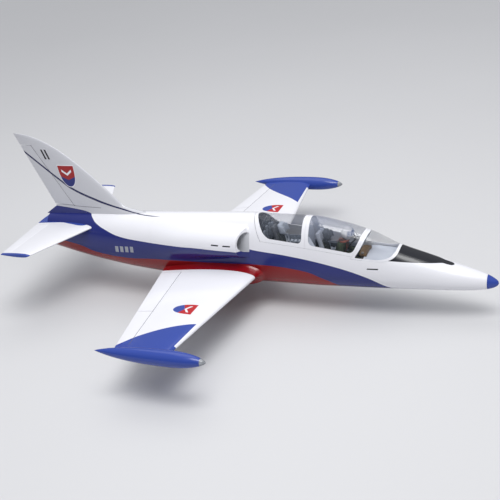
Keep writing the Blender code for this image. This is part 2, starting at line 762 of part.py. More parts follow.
def fin_trail(up):
    """Trailing edge of fin and rudder, and below the rudder the fairing that runs down aft."""
    if up >= FAIRING_TOP:
        return FIN_TRAIL_AFT + (up - 0.281) * FIN_SWEEP
    return FIN_TRAIL_AFT + (FAIRING_TOP - up) / (FAIRING_TOP - FIN_BASE_Z) * FAIRING_LENGTH


def rudder_hinge(up):
    t = (up - RUDDER_LOW[1]) / (RUDDER_HIGH[1] - RUDDER_LOW[1])
    return RUDDER_LOW[0] + (RUDDER_HIGH[0] - RUDDER_LOW[0]) * t


def fin_thick(up):
    """Thickness as a share of the chord; the fillet lengthens the chord but not the thickness."""
    share = 0.095 - 0.035 * (up - FIN_BASE_Z) / (FIN_TOP[1] - FIN_BASE_Z)
    chord = fin_trail(up) - lead_at(up)
    return share * (chord - fillet(up)) / chord


def fillet(up):
    """How far the low fillet runs ahead of the fin's own leading edge."""
    return FILLET_LENGTH * min(max((FILLET_TOP - up) / FILLET_TALL, 0.0), 1.0) ** 2


def fin_station(up, lead):
    hinge = rudder_hinge(up)
    trail = fin_trail(up)
    radius = aerofoil((hinge - lead) / (trail - lead), fin_thick(up)) * (trail - lead) + 0.0002
    return place(hinge, 0, up), place(trail, 0, up), radius


def lead_at(up):
    """Where the leading edge curve passes a height, by halving."""
    low, high = 0.0, 1.0
    for _ in range(30):
        mid = (low + high) / 2
        if bezier(FIN_LEAD, mid)[1] < up:
            low = mid
        else:
            high = mid
    return bezier(FIN_LEAD, low)[0] - fillet(up)


def fin_and_rudder():
    side = Vector((0, 1, 0))
    rows = []
    for up in FIN_LEVELS:
        def on_fin(aft, half, up=up):
            return place(aft, half, up)
        rows.append(section(lead_at(up), fin_trail(up), fin_thick(up), on_fin, 10))
    fin = loft("fin", rows, WHITE)
    low, high = RUDDER_LOW[1], 0.612
    room = [fin_station(z, lead_at(z)) for z in (low - 0.0035, high + 0.0035)]
    combine(fin, bay_cutter("cut_rudder", room, side, 0.001), 'DIFFERENCE')
    surface("rudder", [fin_station(z, lead_at(z)) for z in (low, high)], WHITE, side)
    return fin


# ---------------------------------------------------------------- cockpit
def cockpit():
    """Tub, seats, panels and a plain dummy pilot."""
    rows = ((0.475, 0.048, 0.092), (0.580, 0.060, 0.100), (0.720, 0.070, 0.112), (1.095, 0.075, 0.150))
    floor, wall = 0.020, 0.002

    def ring(aft, half, rim, inset):
        return [place(aft, half - inset, rim), place(aft, half - inset, floor + inset),
                place(aft, -half + inset, floor + inset), place(aft, -half + inset, rim)]

    bm = bmesh.new()
    outer = [[bm.verts.new(p) for p in ring(a, h, r, 0)] for a, h, r in rows]
    ends = (0.002, 0, 0, -0.002)
    inner = [[bm.verts.new(p) for p in ring(a + e, h, r, wall)] for (a, h, r), e in zip(rows, ends)]
    for set_rows in (outer, inner):
        for a, b in zip(set_rows, set_rows[1:]):
            for j in range(3):
                bm.faces.new((a[j], a[j + 1], b[j + 1], b[j]))
        bm.faces.new(set_rows[0])
        bm.faces.new(set_rows[-1])
    for j in (0, 3):
        for k in range(3):
            bm.faces.new((outer[k][j], outer[k + 1][j], inner[k + 1][j], inner[k][j]))
    for k in (0, 3):
        bm.faces.new((outer[k][0], outer[k][3], inner[k][3], inner[k][0]))
    finish("cockpit_tub", bm, DARK_GREY)

    for name, aft, base in (("seat_front", 0.770, 0.0), ("seat_rear", 0.990, 0.026)):
        outline = ((-0.105, 0.0225), (0.045, 0.0225), (0.072, 0.205), (0.050, 0.222), (0.030, 0.215),
                   (0.008, 0.085), (-0.095, 0.075))
        if name == "seat_rear":
            outline = tuple((a, z - 0.002 if z > 0.03 else z - base) for a, z in outline)
        rings = [[place(aft + a, y, base + z) for a, z in outline] for y in (-0.036, 0.036)]
        loft(name, rings, DARK_GREY)

    block("instrument_panel_front", (0.596, -0.040, 0.0225), (0.612, 0.040, 0.140), PANEL_BROWN, 0.003)
    block("instrument_panel_rear", (0.870, -0.046, 0.0225), (0.878, 0.046, 0.238), LIGHT_GREY, 0.002)
    pilot()


def pilot():
    """Dummy pilot as one turned bust: hips, waist, shoulders, neck and helmet."""
    sides = 16
    rings = []
    for up, wide, deep in PILOT_LEVELS:
        share = (up - PILOT_LEVELS[0][0]) / (PILOT_LEVELS[-1][0] - PILOT_LEVELS[0][0])
        centre = lerp(PILOT_AFT, share)
        turns = [2 * math.pi * k / sides for k in range(sides)]
        rings.append([place(centre + deep * math.cos(t), wide * math.sin(t), up) for t in turns])
    loft("pilot_figure", rings, SUIT, 60)


# ---------------------------------------------------------------- inside the fuselage
def inside():
    """Turbine with its former, tailpipe, fuel tank, and the tray with battery and receiver."""
    engine = ((0.0, 0.030), (0.0, 0.046), (-0.012, 0.054), (-0.060, 0.056), (-0.190, 0.056), (-0.215, 0.040),
              (-0.250, 0.030))
    turned("turbine", place(1.800, 0, 0.105), (1, 0, 0), engine, ALUMINIUM, 24)
    pipe_front, pipe_back = 2.035, 2.324
    start = place(pipe_front, 0, PIPE_Z - 0.006)
    run = place(pipe_back, 0, PIPE_Z) - start
    length = run.length
    pipe = ((0.0, 0.050), (0.030, 0.042), (length, 0.0415), (length, 0.0400), (0.030, 0.0405), (0.0, 0.0485),
            (0.0, 0.050))
    turned("tailpipe", start, run, pipe, STEEL, 24)
    block("fuel_tank", (1.195, -0.028, 0.075), (1.440, 0.028, 0.205), FUEL_WHITE, 0.012)
    low, high = -0.0160, -0.0130
    tray = [[place(aft, y, up) for y, up in ((-half, low), (half, low), (half, high), (-half, high))]
            for aft, half in ((0.150, 0.0450), (0.332, 0.0600))]
    loft("equipment_tray", tray, PLYWOOD)
    faces, bore, centre = (1.860, 1.868), 0.0565, 0.105
    turns = [math.radians(-90 + 360 * j / COLUMNS) for j in range(COLUMNS)]
    hole = [[place(aft, bore * math.cos(t), centre + bore * math.sin(t)) for t in turns] for aft in faces]
    sleeve("turbine_former", [skin_ring(aft, -WALL - GAP) for aft in faces], hole, PLYWOOD)
    block("battery", (0.170, -0.024, -0.012), (0.300, 0.024, 0.020), PACK_BLUE, 0.003)
    block("receiver", (0.215, -0.018, 0.0235), (0.270, 0.018, 0.040), DARK_GREY, 0.002)


def servos():
    """Aileron servos, one lying in each wing panel."""
    for side in (1, -1):
        lead, trail, up = wing_edges(0.70)
        block(f"servo_aileron_{mirrored(side)}", (lead + 0.110, side * 0.690, up - 0.009),
              (lead + 0.150, side * 0.710, up + 0.007), DARK_GREY, 0.001)


def tubes(wing_panels, stab_panels, shell, tail):
    """Carbon joiner tubes and the holes they pass through."""
    up = 0.0275
    turned("wing_tube", place(WING_TUBE_AFT, -0.36, up), (0, 1, 0), ((0, 0.013), (0.72, 0.013)), CARBON, 16)
    bore = turned("cut_wing_tube", place(WING_TUBE_AFT, -0.361, up), (0, 1, 0),
                  ((0, 0.0134), (0.722, 0.0134)), DARK_GREY, 16)
    for target in (shell, *wing_panels):
        combine(target, bore, 'DIFFERENCE')
    up = 0.2018
    turned("stab_tube", place(STAB_TUBE_AFT, -0.20, up), (0, 1, 0), ((0, 0.005), (0.40, 0.005)), CARBON, 12)
    bore = turned("cut_stab_tube", place(STAB_TUBE_AFT, -0.201, up), (0, 1, 0),
                  ((0, 0.0054), (0.402, 0.0054)), DARK_GREY, 12)
    for target in (tail, *stab_panels):
        combine(target, bore, 'DIFFERENCE')


def pocket_servo(side, panel):
    """Pocket for the aileron servo, open at the lower side of the wing."""
    lead, trail, up = wing_edges(0.70)
    pocket = block(f"cut_servo_{mirrored(side)}", (lead + 0.1095, side * 0.6895, up - 0.040),
                   (lead + 0.1505, side * 0.7105, up + 0.0075), DARK_GREY)
    combine(panel, pocket, 'DIFFERENCE')


# ---------------------------------------------------------------- landing gear
def wheel(prefix, word, hub, axis, radius, width, look_at):
    """Tyre and hub of one wheel, turned about its axle."""
    w, rim = width / 2, radius * 0.62
    tyre = ((-w * 0.80, rim), (-w, radius * 0.80), (-w * 0.70, radius * 0.95), (0.0, radius),
            (w * 0.70, radius * 0.95), (w, radius * 0.80), (w * 0.80, rim), (-w * 0.80, rim))
    turned(f"{prefix}_tyre{word}", hub, axis, tyre, RUBBER, 20, origin=look_at)
    r = rim - GAP
    disc = ((-w * 0.80, 0.0034), (-w * 0.80, 0.010), (-w * 0.35, r - 0.005), (-w * 0.80, r),
            (w * 0.80, r), (w * 0.35, r - 0.005), (w * 0.80, 0.010), (w * 0.80, 0.0034),
            (-w * 0.80, 0.0034))
    turned(f"{prefix}_hub{word}", hub, axis, disc, ALUMINIUM, 20, origin=look_at)


def swung(pieces, pivot, turn):
    """Move pieces built about a pivot with the gear down to where they lie with the gear up."""
    for piece in pieces:
        piece.matrix_world = Matrix.Translation(pivot) @ turn


def plain_box(name, half_sizes):
    bm = bmesh.new()
    bmesh.ops.create_cube(bm, size=2.0)
    bmesh.ops.scale(bm, vec=half_sizes, verts=bm.verts)
    return finish(name, bm, ALUMINIUM)


def main_leg(side, word, pivot, turn):
    """Strut with its trunnion pin, lug and axle; the strut narrows halfway down."""
    shank = ((0, STRUT), (0.075, STRUT), (0.075, STRUT_THIN), (MAIN_LEG + 0.012, STRUT_THIN))
    leg = turned(f"main_leg_{word}", (0, 0, 0.006), (0, 0, -1), shank, ALUMINIUM, 14)
    pin = turned(f"pin_main_{word}", (-0.0205, 0, 0), (1, 0, 0), ((0, 0.0028), (0.041, 0.0028)), STEEL, 10)
    lug = plain_box(f"lug_main_{word}", (0.0125, 0.0058, 0.0058))
    reach = MAIN_OFFSET + MAIN_WIDTH * 0.42
    axle = turned(f"axle_main_{word}", (0, 0, -MAIN_LEG), (0, side, 0),
                  ((-0.0035, 0.0030), (reach, 0.0030)), STEEL, 10)
    swung((leg, pin, lug, axle), pivot, turn)
    for extra in (pin, lug, axle):
        combine(leg, extra, 'UNION')


def main_door(side, word, pivot):
    """Leg door following the belly and the wing root, clamped to the strut in two places."""
    aft, up = MAIN_PIVOT[0], MAIN_PIVOT[2]
    half, thick = 0.0135, 0.0015
    strip = ((0.104, -0.0185), (ROOT_Y, -0.0050), (0.222, -0.0012))
    rings = []
    for y, low in strip:
        rings.append([place(aft + a, side * y, low + z)
                      for a, z in ((-half, 0), (half, 0), (half, thick), (-half, thick))])
    door = loft(f"main_leg_door_{word}", rings, WHITE, origin=pivot)
    for k, (near, far, low) in enumerate(((0.151, 0.157, -0.0044), (0.192, 0.199, -0.0020))):
        clamp = block(f"clamp_{word}_{k}", (aft - 0.008, side * near, low),
                      (aft + 0.008, side * far, up + 0.0085), ALUMINIUM)
        combine(door, clamp, 'UNION')
    for k, (near, far, radius) in enumerate(((0.1401, 0.1704, STRUT_THIN), (0.1866, 0.2101, STRUT))):
        bore = turned(f"cut_clamp_{word}_{k}", place(aft, side * near, up), (0, side, 0),
                      ((0, radius + GAP), (far - near, radius + GAP)), DARK_GREY, 14)
        combine(door, bore, 'DIFFERENCE')


def main_unit(side, word, pivot):
    """Retract block: a fork round the leg's lug, bored for the trunnion pin."""
    aft, _, up = MAIN_PIVOT
    half = 0.0225
    unit = block(f"main_retract_unit_{word}", (aft - half, side * 0.229, up - 0.012),
                 (aft + half, side * 0.268, up + 0.0115), DARK_GREY)
    slot = block(f"cut_unit_{word}", (aft - 0.0135, side * 0.210, up - 0.020),
                 (aft + 0.0135, side * 0.280, up + 0.0085), DARK_GREY)
    hole = turned(f"cut_trunnion_{word}", pivot - Vector((0.03, 0, 0)), (1, 0, 0),
                  ((0, 0.0032), (0.06, 0.0032)), DARK_GREY, 10)
    combine(unit, slot, 'DIFFERENCE')
    combine(unit, hole, 'DIFFERENCE')


def main_gear(side, panel, shell):
    """One main gear, folded inwards, and the well it lies in."""
    word = mirrored(side)
    aft, y, up = MAIN_PIVOT
    pivot = place(aft, side * y, up)
    turn = Matrix.Rotation(math.radians(-90 * side), 4, 'X')
    main_leg(side, word, pivot, turn)
    hub = turn @ Vector((0, side * MAIN_OFFSET, -MAIN_LEG)) + pivot
    wheel("main", f"_{word}", hub, (0, 0, 1), MAIN_RADIUS, MAIN_WIDTH, hub)
    main_unit(side, word, pivot)
    main_door(side, word, pivot)

    wheel_y = y - MAIN_LEG
    room = MAIN_RADIUS + 0.006
    well = turned(f"cut_well_{word}", place(aft, side * wheel_y, WELL_LOW), (0, 0, 1),
                  ((0, room), (0.040 - WELL_LOW, room)), DARK_GREY, 24)
    slot = block(f"cut_leg_{word}", (aft - 0.0145, side * wheel_y, WELL_LOW),
                 (aft + 0.0145, side * 0.284, 0.0405), DARK_GREY)
    pocket = block(f"cut_pocket_{word}", (aft - 0.0235, side * 0.226, WELL_LOW),
                   (aft + 0.0235, side * 0.271, 0.0425), DARK_GREY)
    combine(shell, well, 'DIFFERENCE')
    combine(shell, slot, 'DIFFERENCE')
    for cutter in (slot, pocket):
        combine(panel, cutter, 'DIFFERENCE')


def nose_leg(pivot, turn, crown):
    """Strut of the nose gear with its trunnion pin and lug, and the steered fork below it."""
    shank = ((0, NOSE_STRUT), (crown + 0.0054, NOSE_STRUT))
    leg = turned("nose_leg", (0, 0, 0.006), (0, 0, -1), shank, ALUMINIUM, 14)
    pin = turned("pin_nose", (0, -0.0225, 0), (0, 1, 0), ((0, 0.0028), (0.045, 0.0028)), STEEL, 10)
    lug = plain_box("lug_nose", (0.0085, 0.0140, 0.0085))
    fork = plain_box("nose_fork", (0.010, 0.0205, 0.0040))
    bar = turned("bar_nose", (0, -0.0180, -NOSE_LEG), (0, 1, 0), ((0, 0.0030), (0.036, 0.0030)), STEEL, 10)
    swung((leg, pin, lug, bar), pivot, turn)
    fork.matrix_world = Matrix.Translation(pivot) @ turn @ Matrix.Translation((0, 0, -crown - 0.004))
    for side in (1, -1):
        arm = plain_box(f"arm_{mirrored(side)}", (0.007, 0.0022, (NOSE_LEG - crown) / 2 + 0.002))
        middle = Matrix.Translation((0, side * 0.0183, -(NOSE_LEG + crown) / 2 - 0.004))
        arm.matrix_world = Matrix.Translation(pivot) @ turn @ middle
        combine(fork, arm, 'UNION')
    combine(fork, bar, 'UNION')
    combine(leg, pin, 'UNION')
    combine(leg, lug, 'UNION')


def nose_door(pivot, turn):
    """Leg door under the nose bay, hung from the strut by one clamp."""
    front, back, half = 0.372, 0.515, 0.022
    outline = ((-half, 0.0016), (0, 0.0004), (half, 0.0016), (half, 0.0031), (0, 0.0019), (-half, 0.0031))
    rings = []
    for at in (front, (front + back) / 2, back):
        keel = spline_row(STATIONS, at)[1]
        rings.append([place(at, y, keel + z) for y, z in outline])
    door = loft("nose_leg_door", rings, WHITE, origin=pivot)
    clamp = block("clamp_nose", (0.472, -0.008, -0.0468), (0.482, 0.008, -0.0100), ALUMINIUM)
    combine(door, clamp, 'UNION')
    bore = turned("cut_clamp_nose", (0, 0, -0.010), (0, 0, -1),
                  ((0, NOSE_STRUT + GAP), (0.035, NOSE_STRUT + GAP)), DARK_GREY, 14)
    swung((bore,), pivot, turn)
    combine(door, bore, 'DIFFERENCE')


def nose_gear(shell):
    """The nose gear, folded forwards, and its bay."""
    aft, up = NOSE_PIVOT
    pivot = place(aft, 0, up)
    turn = Matrix.Rotation(math.radians(-NOSE_SWING), 4, 'Y')
    nose_leg(pivot, turn, NOSE_LEG - NOSE_RADIUS - 0.012)
    hub = turn @ Vector((0, 0, -NOSE_LEG)) + pivot
    wheel("nose", "", hub, (0, 1, 0), NOSE_RADIUS, NOSE_WIDTH, hub)
    nose_door(pivot, turn)

    unit = block("nose_retract_unit", (aft - 0.013, -0.0235, up - 0.010),
                 (aft + 0.013, 0.0235, up + 0.018), DARK_GREY)
    slot = block("cut_nose_unit", (aft - 0.030, -0.0152, up - 0.020),
                 (aft + 0.030, 0.0152, up + 0.0125), DARK_GREY)
    hole = turned("cut_nose_trunnion", pivot - Vector((0, 0.03, 0)), (0, 1, 0),
                  ((0, 0.0032), (0.06, 0.0032)), DARK_GREY, 10)
    combine(unit, slot, 'DIFFERENCE')
    combine(unit, hole, 'DIFFERENCE')
    bay = block("cut_nose_bay", (NOSE_PIVOT[0] - NOSE_LEG - NOSE_RADIUS - 0.005, -0.0245, -0.08),
                (NOSE_PIVOT[0] + 0.030, 0.0245, -0.020), DARK_GREY)
    combine(shell, bay, 'DIFFERENCE')


# ---------------------------------------------------------------- the whole aeroplane
def build():
    for old in list(bpy.data.objects):
        bpy.data.objects.remove(old)
    nose_cone()
    shell = front_shell()
    tail = rear_shell()
    panels = dict(wings(shell))
    for cutter in canopies():
        combine(shell, cutter, 'DIFFERENCE')
    intakes(shell)
    stabs = dict(stabilisers())
    for side, panel in stabs.items():
        combine(panel, rear_envelope(f"cut_stab_root_{mirrored(side)}"), 'DIFFERENCE')
    fin = fin_and_rudder()
    combine(fin, rear_envelope("cut_fin_root"), 'DIFFERENCE')
    tubes(panels.values(), stabs.values(), shell, tail)
    cockpit()
    inside()
    servos()
    for side, panel in panels.items():
        pocket_servo(side, panel)
        main_gear(side, panel, shell)
    nose_gear(shell)


build()
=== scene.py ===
"""Looks of the radio-controlled jet trainer: painted skins, clear canopies, cockpit and gear.

Lengths are metres in the frame of the CAD: +X out of the nose, +Y to the left wing, +Z up. Distances
called "aft" run backwards from the nose tip, and "up" is the height above it.
"""

import math

import bmesh
import bpy
from mathutils import Matrix, Vector


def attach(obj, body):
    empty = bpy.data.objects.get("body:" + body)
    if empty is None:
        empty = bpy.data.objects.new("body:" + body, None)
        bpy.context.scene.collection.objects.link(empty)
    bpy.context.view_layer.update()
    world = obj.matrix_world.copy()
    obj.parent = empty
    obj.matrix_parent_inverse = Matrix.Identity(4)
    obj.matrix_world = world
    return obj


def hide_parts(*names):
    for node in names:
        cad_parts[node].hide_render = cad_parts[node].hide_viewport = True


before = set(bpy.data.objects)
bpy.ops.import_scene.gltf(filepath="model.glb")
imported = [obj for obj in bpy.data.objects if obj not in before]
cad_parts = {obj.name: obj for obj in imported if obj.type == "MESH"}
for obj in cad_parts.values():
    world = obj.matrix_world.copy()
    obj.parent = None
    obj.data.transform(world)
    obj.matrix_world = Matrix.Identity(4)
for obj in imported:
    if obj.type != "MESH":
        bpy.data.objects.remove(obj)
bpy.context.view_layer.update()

# ---------------------------------------------------------------- dimensions shared with the CAD
NOSE_X = 1.210
NOSE_Z = 0.060
WALL = 0.003
GAP = 0.0004
COLUMNS = 160
FLAT_BAND = 0.003
# aft, half width, keel, waist, crown
STATIONS = (
    (0.000, 0.0010, -0.0010, 0.000, 0.0010), (0.004, 0.0100, -0.0090, 0.000, 0.0100),
    (0.018, 0.0205, -0.0185, 0.001, 0.0210), (0.048, 0.0320, -0.0280, 0.003, 0.0370),
    (0.110, 0.0500, -0.0345, 0.009, 0.0580), (0.200, 0.0670, -0.0380, 0.018, 0.0830),
    (0.320, 0.0820, -0.0420, 0.031, 0.1200), (0.434, 0.0915, -0.0465, 0.043, 0.1570),
    (0.571, 0.0985, -0.0515, 0.056, 0.2240), (0.711, 0.1030, -0.0555, 0.067, 0.2640),
    (0.840, 0.1060, -0.0600, 0.076, 0.2850), (1.100, 0.1090, -0.0600, 0.088, 0.2880),
    (1.400, 0.1130, -0.0600, 0.097, 0.2780), (1.600, 0.1150, -0.0480, 0.103, 0.2700),
    (1.800, 0.1100, -0.0290, 0.112, 0.2630), (2.000, 0.0950, -0.0010, 0.124, 0.2560),
    (2.150, 0.0780, 0.0270, 0.133, 0.2480), (2.320, 0.0540, 0.0640, 0.142, 0.2370),
)
ROUND_TOP = 2.1
ROUND_BOTTOM = 2.3
# aft, distance of the centre from the middle, height of the centre, half width, half height
NACELLE = (
    (1.100, 0.090, 0.174, 0.075, 0.071), (1.182, 0.090, 0.174, 0.075, 0.071),
    (1.300, 0.081, 0.168, 0.082, 0.075), (1.500, 0.060, 0.155, 0.082, 0.082),
    (1.750, 0.030, 0.142, 0.076, 0.090), (2.000, 0.005, 0.132, 0.070, 0.090),
)
NACELLE_BLEND = 0.030
LIP_AFT = 1.182
LIP_OUTER_Y = 0.165
LIP_RAKE = 0.75
LIP_RAKE_OUTER = 0.35
LIP_RAKE_MOST = 0.045
LIP_THICK = 0.006
LIP_ROUND = 0.0028
MOUTH_LOW = 23.0
MOUTH_HIGH = 58.0
MOUTH_END_TURN = 330.0
SPLIT_AFT = 1.660
CONE_AFT = 0.048
TAIL_AFT = 2.318
PIPE_Z = 0.1150
PIPE_MOUTH = 0.0475

SCREEN_FRONT = 0.431
GLASS_FRONT = 0.443
FRONT_ROUNDING = 0.160
SCREEN_LOW = 33.0
GLASS_LOW = 37.0
MID_BOW = 0.861
PANE_ABOVE_SILL = 6.5
REAR_SWING_GAP = 0.0017
GAP_ANGLE = 0.35
ACROSS = 48

TIP_Y = 0.921
WING_LE = (1.092, 1.1916)
WING_TE = (1.635, 1.446)
WING_Z = (0.0154, 0.0548)
WING_THICK = 0.12
ROOT_Y = 0.150
WING_END_Y = 0.900
HINGE_CHORD = 0.77
FLAP_Y = (0.172, 0.562)
AILERON_Y = (0.5735, 0.868)
STUB_ROWS = ((0.088, 2.3, 0.030), (0.104, 1.7, 0.016), (0.122, 1.3, 0.006), (ROOT_Y, 1.04, 0.0))
TANK_AFT = (1.009, 1.536)
TANK_RADIUS = 0.036
TANK_WIDEST = 0.33
TANK_Z = 0.0505
LENS_SHARE = 0.045

STAB_ROOT_Y = 0.052
STAB_INNER_Y = 0.0004
STAB_TIP_Y = 0.434
STAB_LE = (2.005, 2.166)
STAB_TE = (2.357, 2.326)
STAB_Z = (0.2000, 0.2070)
STAB_THICK = 0.085
ELEVATOR_HINGE = (2.278, 2.285)
ELEVATOR_Y = (0.078, 0.405)

FIN_BASE_Z = 0.236
FIN_TOP = (2.420, 0.678)
RUDDER_LOW = (2.141, 0.2935)
RUDDER_HIGH = (2.3265, 0.614)
FIN_LEAD = ((1.790, 0.236), (2.000, 0.450), (2.180, 0.665), (2.412, 0.676))
FIN_TRAIL = (2.253, 0.281)
FIN_SWEEP = (FIN_TOP[0] - FIN_TRAIL[0]) / (FIN_TOP[1] - FIN_TRAIL[1])
FAIRING_TOP = 0.2835
FAIRING_LENGTH = 0.072
FILLET_TOP = 0.300
FILLET_TALL = 0.040
FILLET_LENGTH = 0.125

MAIN_PIVOT = (1.380, 0.247, 0.030)
MAIN_LEG = 0.155
MAIN_RADIUS = 0.050
MAIN_WIDTH = 0.028
MAIN_OFFSET = 0.0205
NOSE_PIVOT = (0.505, -0.028)
NOSE_LEG = 0.110
NOSE_RADIUS = 0.043
NOSE_WIDTH = 0.026
NOSE_SWING = 107.0
WELL_LOW = -0.080
LEG_SLOT = (0.0145, 0.284, 0.0405)
UNIT_SLOT = (0.0235, 0.226, 0.271, 0.0425)
HEAD = (0.680, 0, 0.209)
HELMET_TALL = 0.0335


# ---------------------------------------------------------------- shapes of the CAD
def place(aft, y, up):
    """Model coordinates of a point given by its distance behind and height above the nose tip."""
    return Vector((NOSE_X - aft, y, NOSE_Z + up))


def lerp(pair, t):
    return pair[0] + (pair[1] - pair[0]) * t


def steps(start, end, count=12):
    return [start + (end - start) * k / count for k in range(count + 1)]


def spline_row(table, aft):
    """Monotone cubic through the columns of a table whose first column is the distance aft."""
    last = len(table) - 1
    k = max(0, min(last - 1, sum(1 for row in table if row[0] <= aft) - 1))
    step = table[k + 1][0] - table[k][0]
    t = (aft - table[k][0]) / step

    def slope(i, c):
        if i <= 0 or i >= last:
            j = 0 if i <= 0 else last - 1
            return (table[j + 1][c] - table[j][c]) / (table[j + 1][0] - table[j][0])
        before = (table[i][c] - table[i - 1][c]) / (table[i][0] - table[i - 1][0])
        after = (table[i + 1][c] - table[i][c]) / (table[i + 1][0] - table[i][0])
        return 0.0 if before * after <= 0 else 2 * before * after / (before + after)

    values = []
    for c in range(1, len(table[0])):
        h00 = 2 * t ** 3 - 3 * t ** 2 + 1
        h10 = t ** 3 - 2 * t ** 2 + t
        h01 = -2 * t ** 3 + 3 * t ** 2
        h11 = t ** 3 - t ** 2
        values.append(h00 * table[k][c] + h10 * step * slope(k, c)
                      + h01 * table[k + 1][c] + h11 * step * slope(k + 1, c))
    return values


def smooth_max(a, b, blend):
    near = max(blend - abs(a - b), 0.0) / blend
    return max(a, b) + near * near * blend / 4


def skin_radius(aft, angle, nacelle):
    """Distance of the skin from the waist point of a section, and the waist's height."""
    half, keel, waist, crown = spline_row(STATIONS, aft)
    c, s = abs(math.cos(angle)), math.sin(angle)
    height = crown - waist if s > 0 else waist - keel
    power = ROUND_TOP if s > 0 else ROUND_BOTTOM
    radius = ((c / half) ** power + (abs(s) / height) ** power) ** (-1 / power)
    if nacelle and NACELLE[0][0] <= aft <= NACELLE[-1][0]:
        out, up, wide, tall = spline_row(NACELLE, aft)
        dz = waist - up
        square = (c / wide) ** 2 + (s / tall) ** 2
        linear = 2 * (-c * out / wide ** 2 + s * dz / tall ** 2)
        rest = (out / wide) ** 2 + (dz / tall) ** 2 - 1
        root = linear ** 2 - 4 * square * rest
        if root > 0:
            radius = smooth_max(radius, (-linear + math.sqrt(root)) / (2 * square), NACELLE_BLEND)
    return radius, waist


def skin(aft, degrees, offset=0.0, nacelle=True):
    """Point of the skin at an angle round the section: 0 is the left side and 90 the crown."""
    angle = math.radians(degrees)
    radius, waist = skin_radius(aft, angle, nacelle)
    radius += offset
    point = place(aft, radius * math.cos(angle), waist + radius * math.sin(angle))
    if offset >= 0 and point.z < FLAT_BAND:
        point.z = 0.0
    return point


def lip_aft(degrees, nacelle=True):
    """The raked plane of the intake lip: it lies further forward towards the fuselage side."""
    angle = math.radians(degrees)
    radius, _ = skin_radius(LIP_AFT, angle, nacelle)
    inboard = LIP_OUTER_Y - min(abs(radius * math.cos(angle)), LIP_OUTER_Y)
    rake = LIP_RAKE_OUTER if nacelle else LIP_RAKE
    return LIP_AFT - min(rake * inboard, LIP_RAKE_MOST)


def between(values, t):
    """Piecewise linear between values: the parameter's whole number says between which."""
    if len(values) == 2:
        return values[0] + (values[1] - values[0]) * t
    if t >= 2:
        return values[2] + (values[3] - values[2]) * (t - 2)
    if t >= 1:
        return values[1] + (values[2] - values[1]) * (t - 1)
    return values[0] + (values[1] - values[0]) * t


def front_curve(front, low):
    """Rounded front edge of the windshield: a cubic superellipse in aft and angle."""
    def aft(degrees):
        s = min(max((degrees - low) / (90 - low), 0.0), 1.0)
        return front + FRONT_ROUNDING * (1 - (1 - (1 - s) ** 3) ** (1 / 3))
    return aft


def bow(top, foot, low=43.0, power=1.5):
    """Hoop of the canopy, leaning from its top to its foot."""
    def aft(degrees):
        s = min(max((90 - degrees) / (90 - low), 0.0), 1.2)
        return top + (foot - top) * s ** power
    return aft


def level(value):
    return lambda _: value


def sill(extra=0.0):
    """Angle of the cockpit sill, which climbs a little towards the tail."""
    return lambda aft: 38.0 + 18.0 * (aft - 0.63) + extra


def mirror_angle(f):
    return lambda aft: 180.0 - f(aft)


def shifted(f, by):
    return lambda value: f(value) + by


def aerofoil(chord_share, thick):
    """Half thickness of a symmetrical four-digit section, as a share of the chord."""
    x = chord_share
    tail = -0.126 * x - 0.3516 * x ** 2 + 0.2843 * x ** 3 - 0.1015 * x ** 4
    return 5 * thick * (0.2969 * math.sqrt(x) + tail)


def wing_edges(y):
    t = y / TIP_Y
    return lerp(WING_LE, t), lerp(WING_TE, t), lerp(WING_Z, t)


def stab_edges(y):
    t = (y - STAB_ROOT_Y) / (STAB_TIP_Y - STAB_ROOT_Y)
    return lerp(STAB_LE, t), lerp(STAB_TE, t), lerp(STAB_Z, t)


def half_round(centre, along, across, radius, count=18):
    """Points of the round front of a control surface, from its upper to its lower side."""
    turns = [math.pi * k / count for k in range(count + 1)]
    return [centre + (across * math.cos(t) - along * math.sin(t)) * radius for t in turns]


def wing_hinge(side, y):
    lead, trail, up = wing_edges(y)
    chord = trail - lead
    radius = aerofoil(HINGE_CHORD, WING_THICK) * chord + 0.0002
    return place(lead + HINGE_CHORD * chord, side * y, up), place(trail, side * y, up), radius


def bezier(points, t):
    weights = ((1 - t) ** 3, 3 * (1 - t) ** 2 * t, 3 * (1 - t) * t * t, t ** 3)
    return [sum(w * p[i] for w, p in zip(weights, points)) for i in range(2)]


def fin_trail(up):
    """Trailing edge of fin and rudder, and below the rudder the fairing that runs down aft."""
    if up >= FAIRING_TOP:
        return FIN_TRAIL[0] + (up - FIN_TRAIL[1]) * FIN_SWEEP
    return FIN_TRAIL[0] + (FAIRING_TOP - up) / (FAIRING_TOP - FIN_BASE_Z) * FAIRING_LENGTH


def rudder_hinge(up):
    t = (up - RUDDER_LOW[1]) / (RUDDER_HIGH[1] - RUDDER_LOW[1])
    return RUDDER_LOW[0] + (RUDDER_HIGH[0] - RUDDER_LOW[0]) * t


def fin_thick(up):
    """Thickness as a share of the chord; the fillet lengthens the chord but not the thickness."""
    share = 0.095 - 0.035 * (up - FIN_BASE_Z) / (FIN_TOP[1] - FIN_BASE_Z)
    chord = fin_trail(up) - lead_at(up)
    return share * (chord - fillet(up)) / chord


def fillet(up):
    """How far the low fillet runs ahead of the fin's own leading edge."""
    return FILLET_LENGTH * min(max((FILLET_TOP - up) / FILLET_TALL, 0.0), 1.0) ** 2


def fin_station(up, lead):
    hinge = rudder_hinge(up)
    trail = fin_trail(up)
    radius = aerofoil((hinge - lead) / (trail - lead), fin_thick(up)) * (trail - lead) + 0.0002
    return place(hinge, 0, up), place(trail, 0, up), radius


def lead_at(up):
    """Where the leading edge curve passes a height, by halving."""
    low, high = 0.0, 1.0
    for _ in range(30):
        mid = (low + high) / 2
        if bezier(FIN_LEAD, mid)[1] < up:
            low = mid
        else:
            high = mid
    return bezier(FIN_LEAD, low)[0] - fillet(up)


